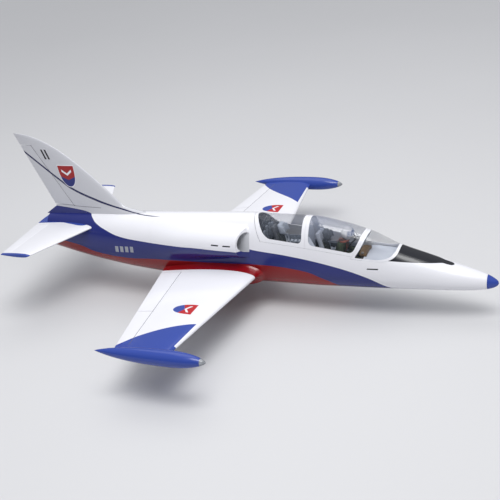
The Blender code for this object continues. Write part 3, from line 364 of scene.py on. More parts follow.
# ---------------------------------------------------------------- shader graphs
class Value:
    """A number or colour in a shader graph, with the usual arithmetic for numbers."""

    def __init__(self, graph, socket):
        self.graph = graph
        self.socket = socket

    def __add__(self, other):
        return self.graph.math('ADD', self, other)

    def __sub__(self, other):
        return self.graph.math('SUBTRACT', self, other)

    def __rsub__(self, other):
        return self.graph.math('SUBTRACT', other, self)

    def __mul__(self, other):
        return self.graph.math('MULTIPLY', self, other)

    def __truediv__(self, other):
        return self.graph.math('DIVIDE', self, other)

    def __abs__(self):
        return self.graph.math('ABSOLUTE', self)


class Graph:
    """Strings shader nodes together; lengths in a graph are those of the frame."""

    def __init__(self, name):
        self.material = bpy.data.materials.new(name)
        self.material.use_nodes = True
        self.tree = self.material.node_tree
        self.shader = self.tree.nodes["Principled BSDF"]
        self.here = self.node("TexCoord").outputs["Object"]
        split = self.node("SeparateXYZ", {0: self.here})
        self.aft = NOSE_X - Value(self, split.outputs[0])
        self.side = Value(self, split.outputs[1])
        self.out = abs(self.side)
        self.up = Value(self, split.outputs[2]) - NOSE_Z

    def node(self, kind, inputs=(), **settings):
        """New node, with values for its sockets and for its own settings."""
        made = self.tree.nodes.new("ShaderNode" + kind)
        for name, value in settings.items():
            setattr(made, name, value)
        for socket, value in dict(inputs).items():
            self.put(made.inputs[socket], value)
        return made

    def put(self, socket, value):
        if isinstance(value, Value):
            value = value.socket
        if isinstance(value, bpy.types.NodeSocket):
            self.tree.links.new(value, socket)
        elif socket.type == 'RGBA':
            socket.default_value = (*value, 1.0)
        else:
            socket.default_value = value

    def set(self, name, value):
        self.put(self.shader.inputs[name], value)

    def math(self, operation, *values, clamp=False):
        made = self.node("Math", enumerate(values), operation=operation, use_clamp=clamp)
        return Value(self, made.outputs[0])

    def noise(self, scale, detail=3.0, stretch=None):
        where = self.here
        if stretch:
            where = self.node("Mapping", {"Vector": where, "Scale": stretch}).outputs[0]
        made = self.node("TexNoise", {"Vector": where, "Scale": scale, "Detail": detail, "Roughness": 0.5})
        return Value(self, made.outputs["Fac"])

    def mix(self, share, low, high):
        return Value(self, self.node("Mix", {0: share, 6: low, 7: high}, data_type='RGBA').outputs[2])

    def mix_value(self, share, low, high):
        return share * (high - low) + low

    def curve(self, value, table):
        """Smooth function through a table of (value, result)."""
        first, last = table[0][0], table[-1][0]
        low = min(row[1] for row in table)
        span = max(row[1] for row in table) - low
        made = self.node("FloatCurve")
        points = made.mapping.curves[0].points
        spots = [((x - first) / (last - first), (y - low) / span) for x, y in table]
        points[0].location = spots[0]
        points[1].location = spots[-1]
        for spot in spots[1:-1]:
            points.new(*spot)
        for point in points:
            point.handle_type = 'AUTO_CLAMPED'
        made.mapping.update()
        self.put(made.inputs["Value"], self.math('DIVIDE', value - first, last - first, clamp=True))
        return Value(self, made.outputs[0]) * span + low

    def inside(self, distance, soft=0.0004):
        """1 where the distance is positive, 0 where it is negative."""
        return self.math('MULTIPLY_ADD', distance, 1 / soft, 0.5, clamp=True)

    def within(self, value, low, high):
        return self.inside(self.math('MINIMUM', value - low, high - value))

    def both(self, *masks):
        share = masks[0]
        for other in masks[1:]:
            share = share * other
        return share

    def either(self, first, second):
        return self.math('MAXIMUM', first, second)

    def bump(self, height, distance, strength=1.0):
        made = self.node("Bump", {"Strength": strength, "Distance": distance, "Height": height})
        self.set("Normal", made.outputs[0])


WHITE = (0.80, 0.80, 0.84)
BLUE = (0.026, 0.060, 0.330)
NAVY = (0.008, 0.010, 0.070)
RED = (0.47, 0.010, 0.014)
# the next two are the blue and the red darkened as painted shade, for the sides, the underside and the fin
SHADED_BLUE = (0.013, 0.021, 0.165)
SHADED_RED = (0.24, 0.005, 0.008)
# the shield red is the red darkened as painted shade
SHADED_SHIELD_RED = (0.33, 0.010, 0.012)
BLACK = (0.012, 0.013, 0.018)
MARK_GREY = (0.35, 0.37, 0.42)
SEAM_GREY = (0.10, 0.10, 0.12)
# the fin's white darkened to a light grey as painted shade
SHADED_FIN_WHITE = (0.58, 0.585, 0.62)
DIAL_GLASS = (0.012, 0.012, 0.014)
DIAL_RIM = (0.30, 0.30, 0.31)
DIAL_MARK = (0.75, 0.75, 0.70)

# aft, up: edges of the paint scheme on the fuselage
WHITE_BLUE = (
    (0.400, -0.075), (0.487, -0.016), (0.594, 0.042), (0.770, 0.093), (0.955, 0.126), (1.127, 0.146),
    (1.173, 0.156), (1.372, 0.161), (1.513, 0.157), (1.721, 0.161), (1.834, 0.171), (1.931, 0.198),
    (1.994, 0.224), (2.027, 0.245), (2.070, 0.264), (2.130, 0.273), (2.253, 0.2815), (2.420, 0.2900),
)
BLUE_RED = (
    (0.700, -0.060), (0.734, -0.019), (0.790, 0.014), (0.914, 0.056), (1.107, 0.070), (1.409, 0.065),
    (1.633, 0.065), (1.822, 0.056), (1.996, 0.068), (2.105, 0.100), (2.420, 0.140),
)
GLARE_EDGE = (
    (0.180, 0.0790), (0.190, 0.0806), (0.201, 0.0824), (0.220, 0.0872), (0.253, 0.0956), (0.336, 0.1045),
    (0.422, 0.1130), (0.488, 0.1190), (0.560, 0.1240),
)
GLARE_SPAN = (0.186, 0.600)
FIN_STRIPE = (
    (1.700, 0.2600), (1.763, 0.2640), (1.856, 0.2850), (1.930, 0.3070), (1.993, 0.3290), (2.134, 0.3890),
    (2.194, 0.4320), (2.3565, 0.5605), (2.420, 0.6120),
)
FIN_JOINT = ((1.900, 0.2860), (2.141, 0.2890), (2.200, 0.2890))
# aft, out: the same stripe on the fuselage ahead of the fin
SPINE_STRIPE = ((1.630, 0.0360), (1.700, 0.0300), (1.750, 0.0210), (1.790, 0.0110))
# aft, out: edges of the blue on wing and tailplane
WING_TIP_EDGE = (
    (1.100, 0.6080), (1.1715, 0.6460), (1.229, 0.6810), (1.292, 0.7200), (1.345, 0.7580), (1.397, 0.8020),
    (1.425, 0.8330), (1.447, 0.8590), (1.560, 0.9900),
)
STAB_ROOT_EDGE = (
    (2.000, 0.0000), (2.033, 0.0300), (2.080, 0.0850), (2.140, 0.0740), (2.222, 0.0560), (2.370, 0.0560),
)
STAB_TIP_EDGE = ((2.140, 0.4215), (2.178, 0.4204), (2.330, 0.4152), (2.360, 0.4140))

SEAM = 0.0012
HINGE_START = WING_LE[0] + HINGE_CHORD * (WING_TE[0] - WING_LE[0])
HINGE_SLOPE = (WING_LE[1] + HINGE_CHORD * (WING_TE[1] - WING_LE[1]) - HINGE_START) / TIP_Y
RUDDER_SLOPE = (RUDDER_HIGH[0] - RUDDER_LOW[0]) / (RUDDER_HIGH[1] - RUDDER_LOW[1])
RUDDER_START = RUDDER_LOW[0] - RUDDER_LOW[1] * RUDDER_SLOPE


def lacquer(graph, colour):
    """Sprayed two-pack paint under clear coat: faint orange peel, polishing haze and dust."""
    shade = graph.noise(3.0, 4.0) * 0.05 + 0.975
    tone = graph.node("VectorMath", {0: colour, "Scale": shade}, operation='SCALE')
    graph.set("Base Color", tone.outputs[0])
    graph.set("Roughness", graph.noise(14.0, 5.0, (0.4, 1.0, 1.0)) * 0.10 + 0.16)
    graph.shader.inputs["Coat Weight"].default_value = 0.25
    graph.shader.inputs["Specular IOR Level"].default_value = 0.35
    graph.shader.inputs["Coat Roughness"].default_value = 0.06
    graph.bump(graph.noise(420.0, 2.0), 0.00004, 0.5)
    return graph.material


def bar(graph, centre, half, slant):
    """Mask of a slanted bar seen from the side: centre and half sizes as (aft, up)."""
    rise = graph.up - centre[1]
    along = abs(graph.aft - centre[0] + rise * slant)
    return graph.both(graph.inside(half[0] - along), graph.inside(half[1] - abs(rise)))


def badge_body(g, along, across, power):
    """Positive inside a badge whose outline runs to a point as along goes from 0 to 1."""
    return 1.0 - g.math('POWER', g.math('MAXIMUM', along, 0.0), power) - across * across


def badge(g, colour, along, across, power, split, tones, where=()):
    """Badge in two tones with one pale chevron; split says where the second tone starts."""
    area = g.both(g.inside(badge_body(g, along, across, power), 0.02), g.inside(along, 0.01), *where)
    second = g.inside(across * split[0] + along - split[1], 0.02)
    colour = g.mix(area, colour, g.mix(second, *tones))
    chevron = abs(across * 0.30 + along - 0.42)
    pale = g.both(area, g.inside(0.055 - chevron, 0.02), g.inside(0.62 - across, 0.02))
    return g.mix(pale, colour, WHITE)


def fuselage_paint():
    """White over blue over red, with the blue and the red darkened as painted shade, a matt black panel ahead
    of the windshield, plain marks for lettering.
    """
    g = Graph("paint_fuselage")
    # the side blue and the belly red are darkened copies of the paint: painted shade
    colour = g.mix(g.inside(g.curve(g.aft, WHITE_BLUE) - g.up), WHITE, SHADED_BLUE)
    red = g.both(g.inside(g.curve(g.aft, BLUE_RED) - g.up), g.inside(g.aft - BLUE_RED[0][0]))
    colour = g.mix(red, colour, SHADED_RED)
    start = SPINE_STRIPE[0][0]
    half = g.math('MINIMUM', (g.aft - start) * 0.05 + 0.0003, 0.0030)
    stripe = g.inside(half - abs(g.out - g.curve(g.aft, SPINE_STRIPE)))
    on_top = g.inside(g.up - 0.2)
    colour = g.mix(g.both(stripe, g.within(g.aft, start, start + 0.2), on_top), colour, NAVY)
    beside = g.inside(g.out - 0.02)
    for k in range(4):
        mark = bar(g, (1.872 - 0.030 * k, 0.104 + 0.0018 * k), (0.0095, 0.0165), 0.12)
        colour = g.mix(g.both(mark, beside), colour, MARK_GREY)
    for aft, up, half in ((1.290, 0.1865, 0.019), (1.228, 0.1860, 0.020), (0.545, 0.0800, 0.026)):
        mark = bar(g, (aft, up), (half, 0.0032), 0.4)
        colour = g.mix(g.both(mark, beside), colour, BLACK)
    glare = g.both(g.inside(g.up - g.curve(g.aft, GLARE_EDGE)), g.within(g.aft, *GLARE_SPAN))
    return lacquer(g, g.mix(glare, colour, BLACK))


def wing_paint():
    """White panels with blue tips, a white leading edge and a pointed two-colour badge."""
    g = Graph("paint_wing")
    lead = g.out * ((WING_LE[1] - WING_LE[0]) / TIP_Y) + WING_LE[0]
    behind = g.inside(g.aft - lead - (g.out * -0.036 + 0.0385))
    tip = g.inside(g.out - g.curve(g.aft, WING_TIP_EDGE))
    colour = g.mix(g.both(tip, g.either(behind, g.inside(g.out - 0.842))), WHITE, BLUE)
    # root fairing red, darkened aft of its leading edge as painted shade; the plain red is kept only at the
    # front
    unshaded_front = g.math('MULTIPLY', 1.165 - g.aft, 25.0, clamp=True)
    colour = g.mix(g.inside(ROOT_Y - g.out), colour, g.mix(unshaded_front, SHADED_RED, RED))
    seam = g.inside(SEAM - abs(g.aft - (g.out * HINGE_SLOPE + HINGE_START)))
    colour = g.mix(g.both(seam, g.within(g.out, FLAP_Y[0], AILERON_Y[1])), colour, SEAM_GREY)
    along = (g.aft - 1.2350) / 0.105
    across = abs(g.out - 0.5450) / 0.0440
    above = [g.within(g.up, 0.03, 0.20)]
    return lacquer(g, badge(g, colour, along, across, 2.6, (-0.22, 0.46), (RED, BLUE), above))


def stab_paint():
    g = Graph("paint_tailplane")
    root = g.inside(g.curve(g.aft, STAB_ROOT_EDGE) - g.out)
    tip = g.inside(g.out - g.curve(g.aft, STAB_TIP_EDGE))
    return lacquer(g, g.mix(g.either(root, tip), WHITE, BLUE))


def fin_paint():
    """White fin darkened to a light grey as painted shade, with the stripe, a plain shield in shaded tones
    and two bars in place of a number.
    """
    g = Graph("paint_fin")
    # the fin's white and the blue at its base are darkened copies: painted shade
    colour = g.mix(g.inside(g.curve(g.aft, WHITE_BLUE) - g.up), SHADED_FIN_WHITE, SHADED_BLUE)
    hinge = g.inside(SEAM - abs(g.aft - (g.up * RUDDER_SLOPE + RUDDER_START)))
    joint = g.inside(SEAM - abs(g.up - g.curve(g.aft, FIN_JOINT)))
    hinge = g.both(hinge, g.within(g.up, 0.2900, 0.6150))
    joint = g.both(joint, g.within(g.aft, 1.975, 2.140))
    colour = g.mix(g.either(hinge, joint), colour, SEAM_GREY)
    half = g.math('MINIMUM', (g.aft - 1.780) * 0.022 + 0.0018, 0.0062)
    colour = g.mix(g.inside(half - abs(g.up - g.curve(g.aft, FIN_STRIPE))), colour, NAVY)
    across = abs(g.aft - (g.up * 0.10 + 2.093)) / 0.0465
    along = (0.509 - g.up) / 0.112
    body = badge_body(g, along, across, 3.0)
    colour = g.mix(g.both(g.inside(body + 0.10, 0.02), g.inside(along + 0.04, 0.01)), colour, WHITE)
    # the shield's red and blue are darkened copies: painted shade
    colour = badge(g, colour, along, across, 3.0, (0.18, 0.68), (SHADED_SHIELD_RED, SHADED_BLUE))
    for aft in (2.2385, 2.2595):
        colour = g.mix(bar(g, (aft, 0.567), (0.0055, 0.026), -0.35), colour, BLACK)
    return lacquer(g, colour)


def clear_plastic():
    """Blown canopy plastic: slight waviness, faint polishing marks, and a pale painted reflection high up,
    strongest on the front.
    """
    g = Graph("canopy_clear")
    front = g.inside(MID_BOW - g.aft)
    # painted reflection: the glass turns paler and more opaque towards the top, most on the front pane
    high = g.math('MULTIPLY', g.up - 0.185, 11.0, clamp=True)
    painted_reflection = high * g.mix_value(front, 0.35, 1.0)
    smoke = g.mix(g.noise(6.0), (0.05, 0.06, 0.08), (0.07, 0.08, 0.10))
    g.set("Base Color", g.mix(painted_reflection, smoke, (0.30, 0.34, 0.46)))
    g.set("Roughness", g.noise(60.0, 4.0) * 0.03 + 0.012)
    g.set("Alpha", painted_reflection * 0.16 + 0.10)
    g.shader.inputs["IOR"].default_value = 1.49
    g.shader.inputs["Specular IOR Level"].default_value = 0.8
    g.shader.inputs["Coat Weight"].default_value = 0.6
    g.shader.inputs["Coat Roughness"].default_value = 0.02
    g.bump(g.noise(9.0, 1.0), 0.0006, 0.4)
    return g.material


def lens_plastic():
    """Smoked clear nose of the tip tanks."""
    g = Graph("lens_clear")
    g.set("Base Color", g.mix(g.noise(30.0), (0.42, 0.44, 0.47), (0.55, 0.57, 0.60)))
    g.set("Roughness", g.noise(80.0, 4.0) * 0.04 + 0.03)
    g.shader.inputs["Transmission Weight"].default_value = 0.55
    g.shader.inputs["IOR"].default_value = 1.45
    return g.material


def satin(name, low, high, rough, scale=40.0, metal=0.0, grain=0.00012, stretch=None, speckle=0.0):
    """Satin or matt finish between two tones, with a fine surface grain."""
    g = Graph(name)
    cloud = g.noise(scale, 5.0, stretch) * 1.6 - (0.3 + speckle / 2)
    shade = g.math('MULTIPLY_ADD', g.noise(scale * 9, 2.0, stretch), speckle, cloud, clamp=True)
    g.set("Base Color", g.mix(shade, low, high))
    g.set("Roughness", g.noise(scale * 2, 3.0, stretch) * 0.22 + (rough - 0.11))
    g.shader.inputs["Metallic"].default_value = metal
    g.bump(g.noise(scale * 14, 3.0, stretch), grain)
    return g.material


def carbon():
    g = Graph("carbon_weave")
    weave = g.node("TexChecker", {"Scale": 500.0, "Vector": g.here}).outputs["Fac"]
    g.set("Base Color", g.mix(weave, (0.010, 0.010, 0.012), (0.035, 0.035, 0.040)))
    g.set("Roughness", g.noise(50.0) * 0.1 + 0.25)
    g.bump(weave, 0.00005)
    return g.material


def heated_steel():
    """Thin steel of the jet pipe, straw and blue from heat towards its mouth."""
    g = Graph("heated_steel")
    share = g.math('MULTIPLY', g.aft - 2.20, 9.0, clamp=True)
    straw = g.mix(g.noise(18.0, 4.0, (0.3, 1, 1)), (0.46, 0.40, 0.33), (0.60, 0.55, 0.48))
    g.set("Base Color", g.mix(share, straw, (0.30, 0.24, 0.24)))
    g.set("Metallic", g.noise(30.0) * 0.1 + 0.88)
    g.set("Roughness", g.noise(40.0, 4.0, (0.2, 1, 1)) * 0.25 + 0.22)
    g.bump(g.noise(300.0, 2.0, (0.1, 1, 1)), 0.00005)
    return g.material


def instruments(name, face, start):
    """Panel face with rows of round dials: pale rims, ticks and a needle on black glass."""
    g = Graph(name)
    pitch = 0.0200
    du = g.math('FRACT', (g.side + start[0]) / pitch) - 0.5
    dv = g.math('FRACT', (g.up + start[1]) / pitch) - 0.5
    away = g.math('SQRT', du * du + dv * dv)
    dial = g.inside(0.40 - away, 0.03)
    rim = g.inside(0.035 - abs(away - 0.40), 0.02)
    ticks = g.inside(g.math('SINE', g.math('ARCTAN2', dv, du) * 12.0) - 0.75, 0.2)
    ticks = g.both(ticks, g.inside(away - 0.27, 0.02), g.inside(0.35 - away, 0.02))
    needle = g.both(g.inside(0.03 - abs(du * 0.6 + dv), 0.02), g.inside(0.30 - away, 0.02))
    base = g.mix(g.noise(50.0), face, tuple(0.75 * c for c in face))
    colour = g.mix(rim, g.mix(dial, base, DIAL_GLASS), DIAL_RIM)
    g.set("Base Color", g.mix(g.either(ticks, needle), colour, DIAL_MARK))
    g.set("Roughness", g.mix_value(dial, 0.55, 0.12))
    g.bump(dial, 0.0006, 0.6)
    return g.material


# ---------------------------------------------------------------- finishes
PAINT = {}


def make_finishes():
    PAINT.update(
        fuselage=fuselage_paint(), wing=wing_paint(), stab=stab_paint(), fin=fin_paint(),
        white=lacquer(Graph("paint_white"), WHITE), blue=lacquer(Graph("paint_blue"), BLUE),
        glass=clear_plastic(), lens=lens_plastic(), carbon=carbon(), steel=heated_steel(),
        rubber=satin("tyre_black", (0.010, 0.010, 0.011), (0.035, 0.034, 0.033), 0.78, 60.0, 0.0, 0.0002),
        plywood=satin("birch_ply", (0.50, 0.34, 0.18), (0.66, 0.48, 0.28), 0.65, 20.0, 0.0, 0.0002,
                      (0.12, 1.0, 1.0), 0.3),
        duct=satin("duct_grey", (0.42, 0.43, 0.46), (0.56, 0.57, 0.60), 0.50, 12.0),
        alloy=satin("machined_alloy", (0.55, 0.56, 0.58), (0.72, 0.73, 0.75), 0.32, 30.0, 1.0, 0.00004),
        tub=satin("cockpit_grey", (0.020, 0.026, 0.034), (0.060, 0.072, 0.086), 0.60, 60.0, speckle=0.7),
        console=satin("console_grey", (0.10, 0.12, 0.15), (0.34, 0.38, 0.45), 0.50, 90.0, speckle=0.9),
        dash=satin("dash_brown", (0.050, 0.026, 0.012), (0.34, 0.20, 0.08), 0.50, 90.0, speckle=1.0),
        pale=satin("panel_pale", (0.56, 0.60, 0.70), (0.70, 0.74, 0.82), 0.45, 16.0),
        seat=satin("seat_webbing", (0.014, 0.018, 0.016), (0.050, 0.060, 0.052), 0.85, 70.0, 0.0, 0.0005),
        frame=satin("seat_frame", (0.050, 0.056, 0.065), (0.16, 0.17, 0.19), 0.45, 60.0, speckle=0.6),
        rest=satin("headrest_grey", (0.46, 0.51, 0.60), (0.62, 0.67, 0.76), 0.60, 50.0, 0.0, 0.0004),
        suit=satin("flight_suit", (0.012, 0.020, 0.010), (0.075, 0.100, 0.050), 0.90, 60.0, 0.0, 0.0008,
                   speckle=0.8),
        helmet=satin("helmet_white", (0.72, 0.72, 0.75), (0.82, 0.82, 0.84), 0.22, 20.0),
        visor=satin("visor_blue", (0.02, 0.05, 0.16), (0.04, 0.09, 0.26), 0.10, 20.0),
        strap=satin("harness_rust", (0.20, 0.045, 0.020), (0.38, 0.090, 0.035), 0.75, 90.0, 0.0, 0.0004),
        mask=satin("mask_rubber", (0.05, 0.05, 0.05), (0.10, 0.10, 0.10), 0.60, 60.0),
        black=satin("black_plastic", (0.012, 0.012, 0.013), (0.035, 0.035, 0.037), 0.45, 50.0),
        wrap=satin("battery_wrap", (0.04, 0.09, 0.26), (0.06, 0.14, 0.36), 0.40, 30.0),
        tank=satin("fuel_tank_milky", (0.68, 0.66, 0.58), (0.80, 0.78, 0.70), 0.35, 15.0),
        dials_front=instruments("dials_front", (0.20, 0.12, 0.055), (0.500, 0.4985)),
        dials_rear=instruments("dials_rear", (0.10, 0.11, 0.13), (0.500, 0.5040)),
    )


# ---------------------------------------------------------------- meshes
def thing(name, bm, look):
    """Turn a bmesh in frame coordinates into an object."""
    bmesh.ops.remove_doubles(bm, verts=bm.verts, dist=1e-6)
    bmesh.ops.recalc_face_normals(bm, faces=bm.faces)
    mesh = bpy.data.meshes.new(name)
    bm.to_mesh(mesh)
    bm.free()
    mesh.materials.append(look)
    made = bpy.data.objects.new(name, mesh)
    bpy.context.scene.collection.objects.link(made)
    return made


def carved(target, others, operation='DIFFERENCE'):
    """The object with the others cut out of it or joined to it for good; the others go."""
    for other in others:
        cut = target.modifiers.new("cut", 'BOOLEAN')
        cut.object = other
        cut.operation = operation
        cut.solver = 'MANIFOLD'
    bpy.context.view_layer.update()
    graph = bpy.context.evaluated_depsgraph_get()
    mesh = bpy.data.meshes.new_from_object(target.evaluated_get(graph))
    target.modifiers.clear()
    target.data = mesh
    for other in others:
        bpy.data.objects.remove(other)
    return target


def fitted(obj, body, covers=(), smooth=35.0):
    """Shade the piece, hang it on its body and take the place of CAD nodes."""
    obj.data.shade_smooth()
    obj.data.set_sharp_from_angle(angle=math.radians(smooth))
    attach(obj, body)
    if covers:
        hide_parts(*covers)
    return obj


def grid(bm, rows, closed):
    made = [[bm.verts.new(p) for p in row] for row in rows]
    for upper, lower in zip(made, made[1:]):
        count = len(upper)
        for j in range(count if closed else count - 1):
            k = (j + 1) % count
            bm.faces.new((upper[j], upper[k], lower[k], lower[j]))
    return made


def loft(name, rings, look):
    """Closed body through rings of points, capped at both ends."""
    bm = bmesh.new()
    made = grid(bm, rings, True)
    bm.faces.new(made[0])
    bm.faces.new(made[-1])
    bmesh.ops.triangulate(bm, faces=bm.faces)
    return thing(name, bm, look)


def sleeve(name, outer, inner, look):
    bm = bmesh.new()
    out = grid(bm, outer, True)
    core = grid(bm, inner, True)
    for a, b in ((out[0], core[0]), (out[-1], core[-1])):
        for j in range(len(a)):
            k = (j + 1) % len(a)
            bm.faces.new((a[j], a[k], b[k], b[j]))
    bmesh.ops.triangulate(bm, faces=bm.faces)
    return thing(name, bm, look)


def round_ring(centre, side, other, radius, sides):
    turns = [2 * math.pi * k / sides for k in range(sides)]
    return [centre + (side * math.cos(t) + other * math.sin(t)) * radius for t in turns]


def turned(name, centre, axis, profile, look, sides=64):
    """Body turned about an axis; a profile that ends where it starts makes a ring."""
    axis = Vector(axis).normalized()
    side = axis.orthogonal().normalized()
    other = axis.cross(side)
    rings = [round_ring(Vector(centre) + axis * along, side, other, radius, sides)
             for along, radius in profile]
    bm = bmesh.new()
    made = grid(bm, rings, True)
    if profile[0] != profile[-1]:
        bm.faces.new(made[0])
        bm.faces.new(made[-1])
    bmesh.ops.triangulate(bm, faces=bm.faces)
    return thing(name, bm, look)


def limb(bm, stations, sides=20):
    """Tapered tube through stations of (centre, half width, half depth), closed at the ends."""
    centres = [Vector(s[0]) for s in stations]
    rings = []
    for k, (centre, wide, deep) in enumerate(stations):
        ahead = centres[min(k + 1, len(centres) - 1)] - centres[max(k - 1, 0)]
        across = Vector((0, 1, 0)).cross(ahead)
        across = across.normalized() if across.length > 1e-6 else Vector((1, 0, 0))
        out = ahead.cross(across).normalized()
        ring = []
        for j in range(sides):
            t = 2 * math.pi * j / sides
            ring.append(Vector(centre) + out * (wide * math.cos(t)) + across * (deep * math.sin(t)))
        rings.append(ring)
    made = grid(bm, rings, True)
    bm.faces.new(made[0])
    bm.faces.new(made[-1])


def curved(points, count):
    """Stations between given ones, by a Catmull-Rom curve through centres and sizes."""
    rows = [(*p[0], p[1], p[2]) for p in points]
    made = []
    for k in range(len(rows) - 1):
        before, a, b, after = rows[max(k - 1, 0)], rows[k], rows[k + 1], rows[min(k + 2, len(rows) - 1)]
        for step in range(count):
            t = step / count
            row = [0.5 * (2 * a[c] + (b[c] - before[c]) * t
                          + (2 * before[c] - 5 * a[c] + 4 * b[c] - after[c]) * t * t
                          + (3 * a[c] - before[c] - 3 * b[c] + after[c]) * t ** 3) for c in range(5)]
            made.append((Vector(row[:3]), max(row[3], 0.0004), max(row[4], 0.0004)))
    made.append((Vector(rows[-1][:3]), rows[-1][3], rows[-1][4]))
    return made


def tube(bm, line, count, sides, side=1):
    """Limb through rows of ((aft, y, up), half width, half depth), on either side of the middle."""
    limb(bm, curved([(place(a, side * y, z), w, d) for (a, y, z), w, d in line], count), sides)


def slab(bm, low, high, soft=0.002, lean=None):
    """Block between two corners (aft, y, up) with rounded edges, sheared aft with height by lean."""
    a, b = place(*low), place(*high)
    fresh = bmesh.new()
    bmesh.ops.create_cube(fresh, size=1.0)
    bmesh.ops.scale(fresh, vec=[abs(a[i] - b[i]) for i in range(3)], verts=fresh.verts)
    bmesh.ops.bevel(fresh, geom=list(fresh.edges), offset=soft, segments=4, affect='EDGES', profile=0.5)
    bmesh.ops.translate(fresh, vec=(a + b) / 2, verts=fresh.verts)
    if lean:
        for v in fresh.verts:
            v.co.x -= lean * (v.co.z - min(a.z, b.z))
    mesh = bpy.data.meshes.new("part")
    fresh.to_mesh(mesh)
    fresh.free()
    bm.from_mesh(mesh)
    bpy.data.meshes.remove(mesh)


def slabs(bm, low, high, soft=0.002, lean=None):
    """The same block on the left and on the right."""
    for side in (1, -1):
        slab(bm, (low[0], side * low[1], low[2]), (high[0], side * high[1], high[2]), soft, lean)


# ---------------------------------------------------------------- fuselage
RAKE = ((0.0, 0.0), (0.861, 0.0), (0.980, 0.2), (1.080, 0.6), (LIP_AFT, 1.0), (1.240, 0.6), (1.330, 0.2),
        (1.440, 0.0), (3.0, 0.0))


def raked(aft):
    for (a, ra), (b, rb) in zip(RAKE, RAKE[1:]):
        if a <= aft <= b:
            return ra + (rb - ra) * (aft - a) / (b - a)
    return 0.0


def column(j):
    return -90 + 360 * j / COLUMNS


def skin_ring(aft, offset=0.0, nacelle=True, rake=0.0):
    return [skin(aft + rake * (lip_aft(column(j), nacelle) - LIP_AFT), column(j), offset, nacelle)
            for j in range(COLUMNS)]


def lip_ring(turn):
    """Rounded front edge of the nacelle: turn runs from 1 on the raked face to 0 on the outside."""
    ring = []
    for j in range(COLUMNS):
        degrees = column(j)
        angle = math.radians(degrees)
        aft = lip_aft(degrees)
        proud = skin_radius(aft, angle, True)[0] - skin_radius(aft, angle, False)[0]
        size = min(LIP_ROUND, proud / 2)
        phi = turn * math.pi / 2
        ring.append(skin(aft + size * (1 - math.sin(phi)), degrees, -size * (1 - math.cos(phi)), True))
    return ring


def front_shell():
    """Front fuselage moulding, with its wing root fairings, openings and bays."""
    ahead = steps(CONE_AFT + GAP, LIP_AFT, 84)
    behind = steps(LIP_AFT + LIP_ROUND + 0.002, SPLIT_AFT - GAP, 42)
    outer = [skin_ring(a, 0.0, False, raked(a)) for a in ahead]
    outer += [lip_ring(t) for t in (1.0, 0.8, 0.6, 0.4, 0.2, 0.0)]
    outer += [skin_ring(a, 0.0, True, raked(a)) for a in behind]
    step = LIP_AFT + LIP_THICK
    inner = [skin_ring(a, -WALL, False, raked(a)) for a in ahead[:-1]]
    inner += [skin_ring(step, -WALL, False, 1.0), skin_ring(step, -WALL, True, 1.0)]
    inner += [skin_ring(a, -WALL, True, raked(a)) for a in behind[2:]]
    shell = sleeve("skin_front", outer, inner, PAINT["fuselage"])
    stubs = []
    for side in (1, -1):
        rows = []
        for k in range(25):
            y = STUB_ROWS[0][0] + (STUB_ROWS[-1][0] - STUB_ROWS[0][0]) * k / 24
            swell, ahead_by = spline_row(STUB_ROWS, y)
            rows.append(wing_section(side, y, swell, ahead_by))
        stubs.append(loft("stub", rows, PAINT["fuselage"]))
    carved(shell, stubs, 'UNION')
    cutters = [*cockpit_cutters(), *mouth_cutters(), *bay_cutters()]
    carved(shell, cutters)
    fitted(shell, "airframe", ["fuselage_front"], 40)


def mouth_ring(side, inset, shift):
    """The intake mouth in the raked plane, its upper and lower ends rounded, moved aft by shift."""
    count = 40
    span = (MOUTH_HIGH - MOUTH_LOW) / 2 - inset * MOUTH_END_TURN
    middle = (MOUTH_HIGH + MOUTH_LOW) / 2
    arcs = ([], [])
    for k in range(count + 1):
        s = -math.cos(math.pi * k / count)
        degrees = middle + span * s
        angle = math.radians(degrees)
        near, far = lip_aft(degrees, False), lip_aft(degrees)
        base, outer = skin_radius(near, angle, False)[0], skin_radius(far, angle, True)[0]
        full = max((1 - min(abs(s), 1.0) ** 3.2) ** (1 / 3.2), 0.02)
        top = base + inset + (outer - LIP_THICK - base - 2 * inset) * full
        for arc, radius in zip(arcs, (top, base + inset)):
            aft = near + (far - near) * (radius - base) / (outer - base)
            waist = skin_radius(aft, angle, False)[1]
            arc.append(place(aft + shift, side * radius * math.cos(angle), waist + radius * math.sin(angle)))
    return arcs[0] + arcs[1][::-1]


def mouth_cutters():
    return [loft("mouth", [mouth_ring(side, 0.0, -0.02), mouth_ring(side, 0.0, 0.012)], PAINT["duct"])
            for side in (1, -1)]


def ducts():
    """Intake ducts: from the mouth to an oval and inwards."""
    for side, word in ((1, "left"), (-1, "right")):
        outer, inner = [], []
        for k in range(37):
            shift = 0.0005 + 0.2895 * k / 36
            t = max(shift - 0.008, 0.0) / 0.282
            t = t * t * (3 - 2 * t)
            for rings, inset, wide, tall in ((outer, GAP, 0.034, 0.046), (inner, 0.0012, 0.032, 0.044)):
                grow = 0.0025 * min(max((shift - 0.006) / 0.01, 0.0), 1.0)
                mouth = mouth_ring(side, inset + grow, shift)
                oval = []
                for j in range(len(mouth)):
                    angle = math.radians(-50 + 360 * (j + 0.5) / len(mouth))
                    oval.append(place(LIP_AFT + shift - 0.01, side * (0.066 + wide * math.cos(angle)),
                                      0.155 + tall * math.sin(angle)))
                rings.append([a.lerp(b, t) for a, b in zip(mouth, oval)])
        duct = sleeve(f"duct_{word}", outer, inner, PAINT["duct"])
        fitted(duct, "airframe", [f"intake_duct_{word}"], 60)


def room_box(low, high):
    bm = bmesh.new()
    slab(bm, low, high, 0.0015)
    return thing("room", bm, PAINT["black"])


def room_round(centre, axis, radius, length, sides=64):
    return turned("room", centre, axis, ((0, radius), (length, radius)), PAINT["black"], sides)


def leg_slot(side):
    """Room of a folded main leg, through the fuselage side and into the wing."""
    aft, y, _ = MAIN_PIVOT
    half, end, top = LEG_SLOT
    return room_box((aft - half, side * (y - MAIN_LEG), WELL_LOW), (aft + half, side * end, top))


